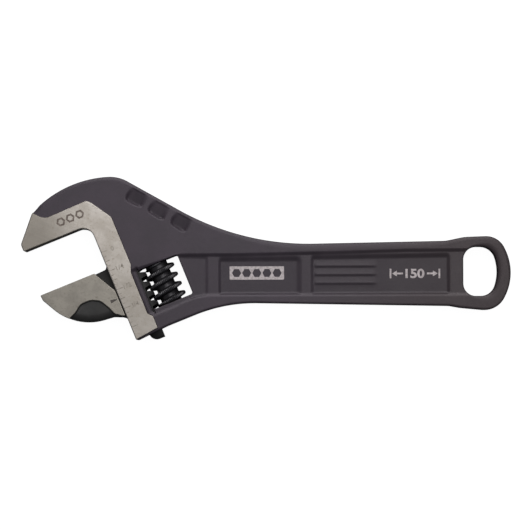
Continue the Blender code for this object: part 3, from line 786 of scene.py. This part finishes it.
def rack_gap_cutters():
    """Gaps between the rack's teeth, leaning with the knurl's thread, with relieved ends."""
    lead = math.atan(PITCH / (2.0 * math.pi * 4.15))
    depth = RACK_ROOT_T - RACK_TIP_T
    over, runoff = 1.0, 12.0
    slope = (TOOTH_ROOT_HALF - TOOTH_TIP_HALF) / depth
    floor_half = PITCH / 2.0 - TOOTH_ROOT_HALF
    mouth_half = PITCH / 2.0 - TOOTH_TIP_HALF + slope * over
    cutters = []
    for number in range(RACK_TEETH + 1):
        middle = RACK_FIRST + (number - 0.5) * PITCH
        upper = (-runoff, -runoff) if number == 0 else (-floor_half, -mouth_half)
        lower = (runoff, runoff) if number == RACK_TEETH else (floor_half, mouth_half)
        outline = ((upper[0], 0.0), (upper[1], depth + over), (lower[1], depth + over),
                   (lower[0], 0.0))
        corners = [(middle + along, RACK_ROOT_T - out, 0.35 if out == 0.0 else 0.0)
                   for along, out in outline]
        pivot = head_point(middle, RACK_ROOT_T)
        lean = Matrix.Rotation(lead, 4, TIPWARD)
        place = Matrix.Translation(pivot) @ lean @ Matrix.Translation(-pivot)
        cutters.append(prism(from_head(corners), -THROUGH, THROUGH, matrix=place))
    return cutters


def make_jaw(black, steel, neck_shade):
    blade, shape = blade_mesh()
    neck = prism(from_head(NECK), -NECK_HALF, NECK_HALF)
    length = RAIL_END - RAIL_TOP
    rail = turned(((0, 0), (RAIL_RADIUS - 0.25, 0), (RAIL_RADIUS, 0.25),
                   (RAIL_RADIUS, length - 0.8), (RAIL_RADIUS - 0.25, length - 0.3),
                   (RAIL_RADIUS - 0.8, length), (0, length)), head_matrix(RAIL_TOP, RAIL_T), 128)
    front = ((RAIL_END - 3.0, -3.0, 0.0), (RAIL_END - 3.0, -4.2, 0.0), (RAIL_END - 0.05, -5.0, 2.4),
             (RAIL_END - 0.05, -8.6, 0.0), (RAIL_END + 2.0, -8.6, 0.0), (RAIL_END + 2.0, -3.0, 0.0))
    tips = block((3.0, 16.0, length + 6.0),
                 head_matrix((RAIL_END + RAIL_TOP) / 2.0, RACK_TIP_T - 1.5))
    mesh = combined(blade, [neck, rail], "UNION")
    front = prism(from_head(front), -THROUGH, THROUGH, 0.3)
    mesh = combined(mesh, [front, *rack_gap_cutters(), tips])
    middles = numbers(mesh.polygons, "center")
    flat = middles[:, :2]
    ground = (signed_distance(flat, shape.rim) < 0.01) & (signed_distance(flat, shape.belly) > 0.0)
    ground &= (np.abs(middles[:, 2]) > NECK_HALF + 0.02) | (flat @ np.array(SLIDE.xy) < 0.5)
    blade_faces = signed_distance(flat, shape.rim) < 0.3
    # Faces away from the blade (neck, rail and rack) take the third, darker black: painted shade
    # between the blade and the strip.
    kinds = np.where(ground, 1, np.where(blade_faces, 0, 2))
    mark_wear_and_sheen(mesh)
    item = show("movable_jaw_skin", mesh, [black, steel, neck_shade], "jaw", ["movable_jaw"])
    item.data.polygons.foreach_set("material_index", kinds.astype(np.int32))


# ---- knurl, its pin and its spring
KNURL_TOP, KNURL_END = 19.2, 32.25
KNURL_RADIUS, KNURL_CORE = 5.1, 3.2
KNURL_CREST = 22.8  # a crest on the rack's side
SERRATIONS = 52  # around one turn of the crest
SERRATION_DEPTH = 0.17
SPRING_POCKET_RADIUS, SPRING_POCKET_TOP = 2.35, 27.0
PIN_RADIUS, PIN_TOP = 1.25, 16.0
PIN_SCREW_TOP, PIN_SCREW_RADIUS, PIN_END = 34.4, 1.7, 38.55
# Half of the thread's section as (along, radius), from its foot to the middle of its crest
THREAD_HALF = ((1.2, 2.6), (1.2, 3.17), (1.0, 3.24), (0.88, 3.42), (0.8, 3.7), (0.7, 4.2),
               (0.6, 4.65), (0.52, 4.86), (0.42, 5.0), (0.28, 5.08), (0.1, 5.1))


def thread_mesh(matrix):
    """The knurl's right-handed thread as one helical ridge with a serrated crest."""
    section = [(-along, radius) for along, radius in THREAD_HALF]
    section += [(along, radius) for along, radius in reversed(THREAD_HALF)]
    turns = math.ceil((KNURL_END - KNURL_TOP) / PITCH) + 2
    steps = SERRATIONS * 4
    start = KNURL_CREST - KNURL_TOP
    first = start - math.ceil(start / PITCH + 0.5) * PITCH
    rows = []
    for row in range(turns * steps + 1):
        angle = math.tau * row / steps
        groove = SERRATION_DEPTH * abs((row % 4) / 2.0 - 1.0)
        for along, radius in section:
            crest = min(1.0, max(0.0, (radius - 4.55) / 0.35))
            out = radius - groove * crest
            rows.append((out * math.cos(angle), out * math.sin(angle),
                         first + PITCH * row / steps + along))
    width = len(section)
    faces = [tuple(range(width)), tuple(turns * steps * width + i for i in reversed(range(width)))]
    for row in range(turns * steps):
        for column in range(width):
            after = (column + 1) % width
            faces.append((row * width + column, (row + 1) * width + column,
                          (row + 1) * width + after, row * width + after))
    mesh = bpy.data.meshes.new("thread")
    mesh.from_pydata(rows, [], faces)
    work = bmesh.new()
    work.from_mesh(mesh)
    return mesh_from_bmesh(work, matrix)


def make_knurl(material):
    matrix = head_matrix(KNURL_TOP, KNURL_AXIS_T)
    length = KNURL_END - KNURL_TOP
    pocket = SPRING_POCKET_TOP - KNURL_TOP
    core = turned(((0, 0), (KNURL_CORE, 0), (KNURL_CORE, length), (0, length)), matrix, 208)
    bore = turned(((0, -1), (1.45, -1), (1.45, pocket), (SPRING_POCKET_RADIUS, pocket),
                   (SPRING_POCKET_RADIUS, length + 1), (0, length + 1)), matrix, 64)
    out = KNURL_RADIUS + 0.02
    envelope = turned(((0, 0), (3.75, 0), (3.9, 0.15), (3.9, 0.7), (out, 1.5), (out, length - 0.6),
                       (out - 0.6, length), (0, length)), matrix, 208)
    mesh = combined(core, [thread_mesh(matrix)], "UNION")
    mesh = combined(mesh, [envelope], "INTERSECT")
    mesh = combined(mesh, [bore])
    mark_wear_and_sheen(mesh)
    show("knurl_skin", mesh, [material], "worm", ["knurl"], 40.0)


def make_pin(material):
    length = PIN_END - PIN_TOP
    step = PIN_SCREW_TOP - PIN_TOP
    screw = PIN_SCREW_RADIUS
    profile = ((0, 0), (PIN_RADIUS - 0.3, 0), (PIN_RADIUS, 0.3), (PIN_RADIUS, step),
               (screw - 0.15, step), (screw, step + 0.15), (screw, length - 0.2),
               (screw - 0.2, length), (0, length))
    mesh = turned(profile, head_matrix(PIN_TOP, KNURL_AXIS_T), 64)
    slot_place = head_matrix(PIN_END, KNURL_AXIS_T) @ Matrix.Rotation(math.radians(30.0), 4, "Z")
    mesh = combined(mesh, [block((5.0, 0.55, 1.2), slot_place)])
    mark_wear_and_sheen(mesh)
    show("knurl_pin_skin", mesh, [material], "body", ["knurl_pin"])


def make_spring(material):
    """A compression spring with closed ends, coil by coil like the part's."""
    radius, wire, turns, steps, sides = 1.85, 0.225, 5.0, 40, 12
    top, bottom = SPRING_POCKET_TOP + 0.3 + wire, 32.05 - wire
    count = int(turns * steps)
    work = bmesh.new()
    rings = []
    for index in range(count + 1):
        angle = math.tau * index / steps
        height = (bottom - top) * index / count
        out = Vector((math.cos(angle), math.sin(angle), 0.0))
        along = Vector((-math.sin(angle) * radius, math.cos(angle) * radius,
                        (bottom - top) / turns / math.tau)).normalized()
        side = along.cross(out)
        middle = out * radius + Vector((0.0, 0.0, height))
        rings.append([work.verts.new(middle + out * wire * math.cos(math.tau * k / sides)
                                     + side * wire * math.sin(math.tau * k / sides))
                      for k in range(sides)])
    stitch(work, rings)
    work.faces.new(rings[0])
    work.faces.new(rings[-1])
    mesh = mesh_from_bmesh(work, head_matrix(top, KNURL_AXIS_T))
    mark_wear_and_sheen(mesh)
    show("knurl_spring_skin", mesh, [material], "body", ["knurl_spring"])


# ---- marks
TICK_STEP = 1.5875  # 1/16 inch
TICK_FIRST = 9.525
TICK_COUNT = 17
TICK_WIDTH = 0.22
TICK_END_T = -0.3
MARK_PROUD = 0.012
MARK_SUNK = 0.04
NUMERALS = ("0", "1/4", "1/2", "3/4")
NUMERAL_T = -3.9
BADGE_X, BADGE_Y = (44.2, 61.4), (2.4, -1.8)
SIZE_MARK_X, SIZE_MARK_Y = (94.8, 110.8), 0.0
STAMP_S, STAMP_FIRST_T, STAMP_STEP = -4.3, 1.6, 3.2
STAMP_OUTER, STAMP_INNER, BADGE_HEXAGON = 1.5, 0.85, 1.45


def rectangle(x0, x1, top, bottom, radius=0.0):
    return ((x0, top, radius), (x1, top, radius), (x1, bottom, radius), (x0, bottom, radius))


def flat_pieces(outlines):
    """Thin plates from z = 0 to 1, one for each list of (x, y, radius) corners, as one mesh."""
    return merged([prism(corners, 0.0, 1.0, 0.6) for corners in outlines])


def lettering(text, height, width, heavy):
    """Generic numerals as a plate from z = 0 to 1, centred on the origin."""
    curve = bpy.data.curves.new("lettering", "FONT")
    curve.body = text
    curve.extrude = 0.5
    curve.offset = heavy
    curve.resolution_u = 4
    item = new_object("lettering", curve)
    mesh = evaluated_mesh(item)
    bpy.data.objects.remove(item)
    places = numbers(mesh.vertices, "co")
    low, high = places.min(axis=0), places.max(axis=0)
    size = np.array((width, height, 1.0))
    places = (places - (low + high) / 2.0) * size / (high - low) + (0.0, 0.0, 0.5)
    mesh.vertices.foreach_set("co", places.ravel())
    work = bmesh.new()
    work.from_mesh(mesh)
    bmesh.ops.remove_doubles(work, verts=work.verts, dist=1e-5)
    return mesh_from_bmesh(work)


def draped(mesh, surface):
    """Lays a plate on a surface: z = 1 ends just proud of it and z = 0 just under it."""
    places = numbers(mesh.vertices, "co")
    step = np.where(places[:, 2] > 0.5, MARK_PROUD, -MARK_SUNK)
    places[:, 2] = surface(places[:, :2]) + step
    mesh.vertices.foreach_set("co", places.ravel())
    return merged([mesh])


def reading_frame(s, t):
    """Flat frame at a head frame point for numerals read from the handle's side."""
    turn = Matrix((-TIPWARD, -SLIDE, Vector((0.0, 0.0, 1.0)))).transposed().to_4x4()
    return Matrix.Translation(head_point(s, t)) @ turn


def scale_meshes():
    """Inch ticks and numerals along the front edge of the head."""
    ticks = []
    for number in range(TICK_COUNT):
        s = TICK_FIRST + number * TICK_STEP
        length = 2.1 if number % 4 == 0 else 1.5 if number % 2 == 0 else 1.0
        corners = rectangle(s - TICK_WIDTH / 2, s + TICK_WIDTH / 2, TICK_END_T - length, TICK_END_T)
        ticks.append(from_head(corners))
    meshes = [flat_pieces(ticks)]
    for number, text in enumerate(NUMERALS):
        width = 1.0 if len(text) == 1 else 2.5
        mesh = lettering(text, 1.5, width, 0.01)
        mesh.transform(reading_frame(TICK_FIRST + number * 4 * TICK_STEP, NUMERAL_T))
        meshes.append(mesh)
    return meshes


def hexagon(x, y, radius):
    angles = [math.radians(60 * k) for k in range(6)]
    return [(x + radius * math.cos(a), y + radius * math.sin(a), 0.0) for a in angles]


def stamp_mesh():
    """A row of hexagon outlines stamped into the fixed jaw, a generic sign for nuts."""
    meshes = []
    for number in range(3):
        outer = prism(hexagon(0.0, 0.0, STAMP_OUTER), 0.0, 1.0, 0.5)
        inner = prism(hexagon(0.0, 0.0, STAMP_INNER), -1.0, 2.0, 0.5)
        ring = combined(outer, [inner])
        ring.transform(reading_frame(STAMP_S, STAMP_FIRST_T + STAMP_STEP * number))
        meshes.append(ring)
    return merged(meshes)


def badge_mesh():
    """A light panel with five hexagons left out of it."""
    (x0, x1), (y0, y1) = BADGE_X, BADGE_Y
    count, margin = 5, 0.6
    pitch = (x1 - x0 - 2.0 * margin) / count
    middle = (y0 + y1) / 2.0
    panel = prism(rectangle(x0, x1, y0, y1, 0.25), 0.0, 1.0, 0.6)
    centres = [x0 + margin + pitch * (k + 0.5) for k in range(count)]
    holes = [prism(hexagon(x, middle, BADGE_HEXAGON), -1.0, 2.0, 0.5) for x in centres]
    return combined(panel, holes)


def size_mark_mesh():
    """The size, 150, between dimension arrows."""
    (x0, x1), y = SIZE_MARK_X, SIZE_MARK_Y
    number = lettering("150", 3.0, 6.0, 0.03)
    number.transform(Matrix.Translation(((x0 + x1) / 2.0, y, 0.0)))
    arrow = ((0.8, 0.0), (2.3, -0.9), (2.3, -0.28), (4.2, -0.28), (4.2, 0.28), (2.3, 0.28),
             (2.3, 0.9))
    shapes = []
    for end, way in ((x0, 1.0), (x1, -1.0)):
        shapes.append(rectangle(end, end + way * 0.55, y - 1.5, y + 1.5))
        shapes.append([(end + way * along, y + across, 0.0) for along, across in arrow])
    return merged([number, flat_pieces(shapes)])


def ground_height(places):
    return np.full(len(places), LAND_HALF)


def make_marks(etched, stamped, dark_etched, pale):
    handle = BodyShape().half_thickness
    index = from_head([(24.9, 0.8, 0.0), (25.2, 0.8, 0.0), (25.6, 2.9, 0.0), (24.5, 2.9, 0.0)])
    rows = (
        ("opening_scale_marks", merged(scale_meshes()), ground_height, etched, "body", "body_finish"),
        ("jaw_nut_stamp", stamp_mesh(), ground_height, stamped, "body", "body_finish"),
        ("jaw_index_mark", flat_pieces([index]), ground_height, dark_etched, "jaw", "jaw_steel"),
        ("handle_badge", badge_mesh(), handle, pale, "body", "body_finish"),
        ("handle_size_mark", size_mark_mesh(), handle, pale, "body", "body_finish"))
    for name, mesh, surface, material, body, slot in rows:
        show(name, draped(mesh, surface), [material], body)


# ---- materials
class Paint:
    """Builds one procedural material around its Principled shader."""

    def __init__(self, name, metallic, specular=0.5):
        self.material = bpy.data.materials.new(name)
        self.material.use_nodes = True
        self.nodes = self.material.node_tree.nodes
        self.links = self.material.node_tree.links
        self.shader = self.nodes["Principled BSDF"]
        self.shader.inputs["Metallic"].default_value = metallic
        self.shader.inputs["Specular IOR Level"].default_value = specular
        self.place = self.nodes.new("ShaderNodeTexCoord").outputs["Object"]

    def join(self, value, socket):
        """Links a socket to another, or sets it; a tuple is a colour."""
        if isinstance(value, bpy.types.NodeSocket):
            self.links.new(value, socket)
        elif isinstance(value, tuple):
            socket.default_value = (*value, 1.0)
        else:
            socket.default_value = value

    def add(self, kind, output, inputs, **settings):
        """A new node with its settings made and its inputs joined; gives back one output."""
        node = self.nodes.new(kind)
        for name, value in settings.items():
            setattr(node, name, value)
        for name, value in inputs.items():
            self.join(value, node.inputs[name])
        return node.outputs[output]

    def stretched(self, scale, turn):
        """Coordinates squeezed by a scale for each axis, after a turn about Z."""
        first = self.add("ShaderNodeMapping", "Vector",
                         {"Vector": self.place, "Rotation": Vector((0.0, 0.0, turn))})
        return self.add("ShaderNodeMapping", "Vector", {"Vector": first, "Scale": Vector(scale)})

    def noise(self, scale, detail, roughness, place=None):
        return self.add("ShaderNodeTexNoise", "Fac",
                        {"Scale": scale, "Detail": detail, "Roughness": roughness,
                         "Vector": self.place if place is None else place})

    def ramp(self, value, low, high, to_low=0.0, to_high=1.0):
        return self.add("ShaderNodeMapRange", "Result",
                        {"Value": value, "From Min": low, "From Max": high,
                         "To Min": to_low, "To Max": to_high}, interpolation_type="SMOOTHSTEP")

    def math(self, operation, one, two):
        return self.add("ShaderNodeMath", "Value", {0: one, 1: two}, operation=operation)

    def mix(self, factor, one, two):
        return self.add("ShaderNodeMix", "Result", {"Factor": factor, "A": one, "B": two},
                        data_type="RGBA")

    def along(self, direction):
        """Distance in metres along a flat direction of the row frame."""
        return self.add("ShaderNodeVectorMath", "Value",
                        {0: self.place, 1: Vector((*direction, 0.0))}, operation="DOT_PRODUCT")

    def attribute(self, name):
        return self.add("ShaderNodeAttribute", "Fac", {}, attribute_name=name)

    def bump(self, layers):
        """Bump from (height, distance in metres, strength) layers, one over the other."""
        below = {}
        for height, distance, strength in layers:
            inputs = {"Distance": distance, "Strength": strength, "Height": height, **below}
            below = {"Normal": self.add("ShaderNodeBump", "Normal", inputs)}
        self.join(below["Normal"], self.shader.inputs["Normal"])

    def finish(self, colour, roughness):
        self.join(colour, self.shader.inputs["Base Color"])
        self.join(roughness, self.shader.inputs["Roughness"])
        return self.material


def black_forging(name, deep, light, worn_and_sheen, gloss, metallic=0.25, warm=None, specular=0.5):
    """Black finish over a forging: fine grain, soft blotches, painted shade in recesses, and edges
    painted lighter, partly as steel scuffed bare and partly as painted highlight.

    With warm, the tone drifts to a browner black towards the hanging ring.
    """
    paint = Paint(name, metallic, specular)
    # shade is the colour of the painted shade at the bottom of recesses
    shade = tuple(0.62 * value for value in deep)
    blotch = paint.noise(90.0, 4.0, 0.6)
    grain = paint.noise(2600.0, 2.0, 0.6)
    hammer = paint.noise(420.0, 3.0, 0.5)
    colour = paint.mix(paint.ramp(blotch, 0.35, 0.68), deep, light)
    if warm is not None:
        colour = paint.mix(paint.ramp(paint.along((1.0, 0.0)), -0.01, 0.08), colour, warm)
    # Painted shade: the deeper a point lies in a recess, the nearer its colour comes to shade.
    painted_recess_shade = paint.math("MULTIPLY", paint.attribute("recess"), 0.62)
    colour = paint.mix(painted_recess_shade, colour, shade)
    # Edges that stand out are mixed towards the pale edge colour: partly steel scuffed bare, partly
    # painted highlight.
    rubbed_and_sheen = paint.math("MULTIPLY", paint.ramp(paint.attribute("wear_and_sheen"), 0.25, 0.9),
                        paint.ramp(paint.noise(700.0, 4.0, 0.7), 0.42, 0.66))
    colour = paint.mix(paint.math("MULTIPLY", rubbed_and_sheen, 0.35), colour, worn_and_sheen)
    roughness = paint.math("ADD", paint.ramp(blotch, 0.3, 0.7, gloss - 0.05, gloss + 0.05),
                           paint.ramp(grain, 0.3, 0.7, -0.04, 0.05))
    paint.bump([(hammer, 0.00005, 0.35), (grain, 0.000012, 0.5)])
    return paint.finish(colour, roughness)


def ground_steel(name, deep, light, rust, turn, painted_shade_tone=None):
    """Belt ground steel: fine parallel scratches, cloudy patches and a few darker specks.

    With painted_shade_tone, the strip is painted darker towards the jaw tips and a little towards the
    chin, as painted shade where the lights' reflection falls off.
    """
    paint = Paint(name, 1.0)
    along = paint.stretched((60.0, 5200.0, 2000.0), turn)
    lines = paint.noise(1.0, 3.0, 0.6, along)
    cloud = paint.noise(130.0, 5.0, 0.62)
    specks = paint.noise(1500.0, 3.0, 0.6)
    colour = paint.mix(paint.ramp(cloud, 0.36, 0.64), deep, light)
    if painted_shade_tone is not None:
        # Painted shade: the strip's colour falls towards the darker tone past the jaw's corner and
        # down towards the chin.
        reach = paint.along(TIPWARD.xy)
        corner = ORIGIN + CORNER * MM
        start, top = corner.dot(TIPWARD), corner.dot(SLIDE)
        colour = paint.mix(paint.ramp(reach, start - 0.001, start + 0.016), colour, painted_shade_tone)
        chin = paint.ramp(paint.along(SLIDE.xy), top - 0.004, top + 0.034, 0.0, 0.52)
        colour = paint.mix(chin, colour, painted_shade_tone)
    colour = paint.mix(paint.ramp(specks, 0.56, 0.74, 0.0, 0.5), colour, rust)
    roughness = paint.math("ADD", paint.ramp(lines, 0.3, 0.7, 0.32, 0.42),
                           paint.ramp(cloud, 0.3, 0.7, -0.04, 0.05))
    paint.bump([(lines, 0.000006, 0.5), (specks, 0.00001, 0.25)])
    return paint.finish(colour, roughness)


def flat_mark(name, deep, light, metallic, gloss):
    """Etched or printed marks with an uneven tone."""
    paint = Paint(name, metallic)
    cloud = paint.noise(1400.0, 3.0, 0.6)
    grain = paint.noise(4200.0, 2.0, 0.5)
    colour = paint.mix(paint.ramp(cloud, 0.35, 0.65), deep, light)
    paint.bump([(grain, 0.000006, 0.4)])
    return paint.finish(colour, paint.ramp(cloud, 0.3, 0.7, gloss - 0.06, gloss + 0.06))


def split_by_ray(tree, lit, seen, output):
    """Gives the camera one shader and every other ray another."""
    chosen = tree.nodes.new("ShaderNodeMixShader")
    ray = tree.nodes.new("ShaderNodeLightPath")
    tree.links.new(ray.outputs["Is Camera Ray"], chosen.inputs["Fac"])
    tree.links.new(lit.outputs[0], chosen.inputs[1])
    tree.links.new(seen.outputs[0], chosen.inputs[2])
    tree.links.new(chosen.outputs[0], tree.nodes[output].inputs["Surface"])


def camera_white(name):
    """Floor paper that the camera sees almost white, and that throws little light back up."""
    material = bpy.data.materials.new(name)
    material.use_nodes = True
    tree = material.node_tree
    nodes = tree.nodes
    nodes.remove(nodes["Principled BSDF"])
    seen, back = nodes.new("ShaderNodeBsdfDiffuse"), nodes.new("ShaderNodeBsdfDiffuse")
    seen.inputs["Color"].default_value = (0.16, 0.16, 0.16, 1.0)
    back.inputs["Color"].default_value = (0.1, 0.1, 0.1, 1.0)
    glow = nodes.new("ShaderNodeEmission")
    glow.inputs["Strength"].default_value = 0.965
    both = nodes.new("ShaderNodeAddShader")
    tree.links.new(seen.outputs[0], both.inputs[0])
    tree.links.new(glow.outputs[0], both.inputs[1])
    split_by_ray(tree, back, both, "Material Output")
    return material


# ---- light and camera
def area_light(name, place, size, power):
    """A rectangular light aimed at the row frame's origin."""
    lamp = bpy.data.lights.new(name, "AREA")
    lamp.shape = "RECTANGLE"
    lamp.size, lamp.size_y = size
    lamp.energy = power
    item = new_object(name, lamp)
    item.location = place
    aim = Vector((0.0, 0.0, 0.0)) - Vector(place)
    item.rotation_euler = aim.to_track_quat("-Z", "Y").to_euler()


def make_studio():
    world = bpy.data.worlds.new("studio")
    world.use_nodes = True
    background = world.node_tree.nodes["Background"]
    background.inputs["Color"].default_value = (0.9, 0.93, 1.0, 1.0)
    background.inputs["Strength"].default_value = 0.2
    white = world.node_tree.nodes.new("ShaderNodeBackground")
    white.inputs["Strength"].default_value = 1.0
    split_by_ray(world.node_tree, background, white, "World Output")
    bpy.context.scene.world = world
    bpy.context.scene.view_settings.view_transform = "Standard"
    work = bmesh.new()
    bmesh.ops.create_grid(work, x_segments=1, y_segments=1, size=3.0)
    floor = new_object("floor", mesh_from_bmesh(work))
    floor.data.materials.append(camera_white("floor_paper"))
    floor.location.z = -0.0002
    area_light("side_softbox", (0.0, 0.6, 0.42), (0.9, 0.35), 3.6)
    area_light("top_softbox", (0.12, 0.22, 0.85), (0.7, 0.6), 2.6)


def make_camera():
    lens = bpy.data.cameras.new("camera")
    lens.lens = 213.1
    lens.sensor_width = 36.0
    lens.clip_start = 0.01
    item = new_object("camera", lens)
    item.location = (-0.00053, -0.03168, 1.0)
    item.rotation_euler = (math.radians(1.7), 0.0, math.radians(-0.19))
    bpy.context.scene.camera = item


def main():
    # The fourth argument of each black finish is its pale edge colour, partly bare steel and partly
    # painted highlight.
    black = black_forging("black_forging", (0.04, 0.03, 0.04), (0.055, 0.0415, 0.0545),
                          (0.3, 0.28, 0.27), 0.46, warm=(0.0425, 0.0305, 0.0325))
    jaw_black = black_forging("black_jaw", (0.026, 0.025, 0.024), (0.038, 0.036, 0.034),
                              (0.3, 0.28, 0.26), 0.42)
    # The thread's pale edge colour paints highlights on the knurl's crests, partly as steel scuffed
    # bare.
    thread = black_forging("black_thread", (0.03, 0.028, 0.031), (0.05, 0.047, 0.051),
                           (0.55, 0.54, 0.55), 0.33, 0.6)
    # A darker black for the jaw's neck and rail, painted shade between the blade and the strip.
    rail = black_forging("black_rail_painted_shade", (0.014, 0.013, 0.013), (0.026, 0.025, 0.024),
                         (0.25, 0.24, 0.23), 0.5, 0.1, specular=0.25)
    # The strip's last colour paints shade on it towards the jaw tips and the chin.
    steel = ground_steel("ground_steel", (0.36, 0.325, 0.287), (0.525, 0.485, 0.443),
                         (0.22, 0.18, 0.14), HEAD_ANGLE, painted_shade_tone=(0.26, 0.236, 0.205))
    jaw_steel = ground_steel("ground_jaw_steel", (0.212, 0.195, 0.17), (0.295, 0.272, 0.236),
                             (0.14, 0.12, 0.1), HEAD_ANGLE)
    spring = ground_steel("spring_steel", (0.5, 0.5, 0.5), (0.6, 0.6, 0.6),
                          (0.3, 0.28, 0.26), 0.0)
    etched = flat_mark("etched_marks", (0.19, 0.165, 0.14), (0.33, 0.3, 0.26), 0.8, 0.45)
    stamped = flat_mark("stamped_marks", (0.12, 0.095, 0.08), (0.22, 0.18, 0.155), 0.6, 0.5)
    dark_etched = flat_mark("dark_etched_marks", (0.05, 0.042, 0.038), (0.09, 0.075, 0.068), 0.3, 0.5)
    pale = flat_mark("pale_marks", (0.4, 0.35, 0.35), (0.58, 0.52, 0.52), 0.1, 0.55)
    make_body(black, steel)
    make_jaw(jaw_black, jaw_steel, rail)
    make_knurl(thread)
    make_pin(thread)
    make_spring(spring)
    make_marks(etched, stamped, dark_etched, pale)
    make_studio()
    make_camera()


main()
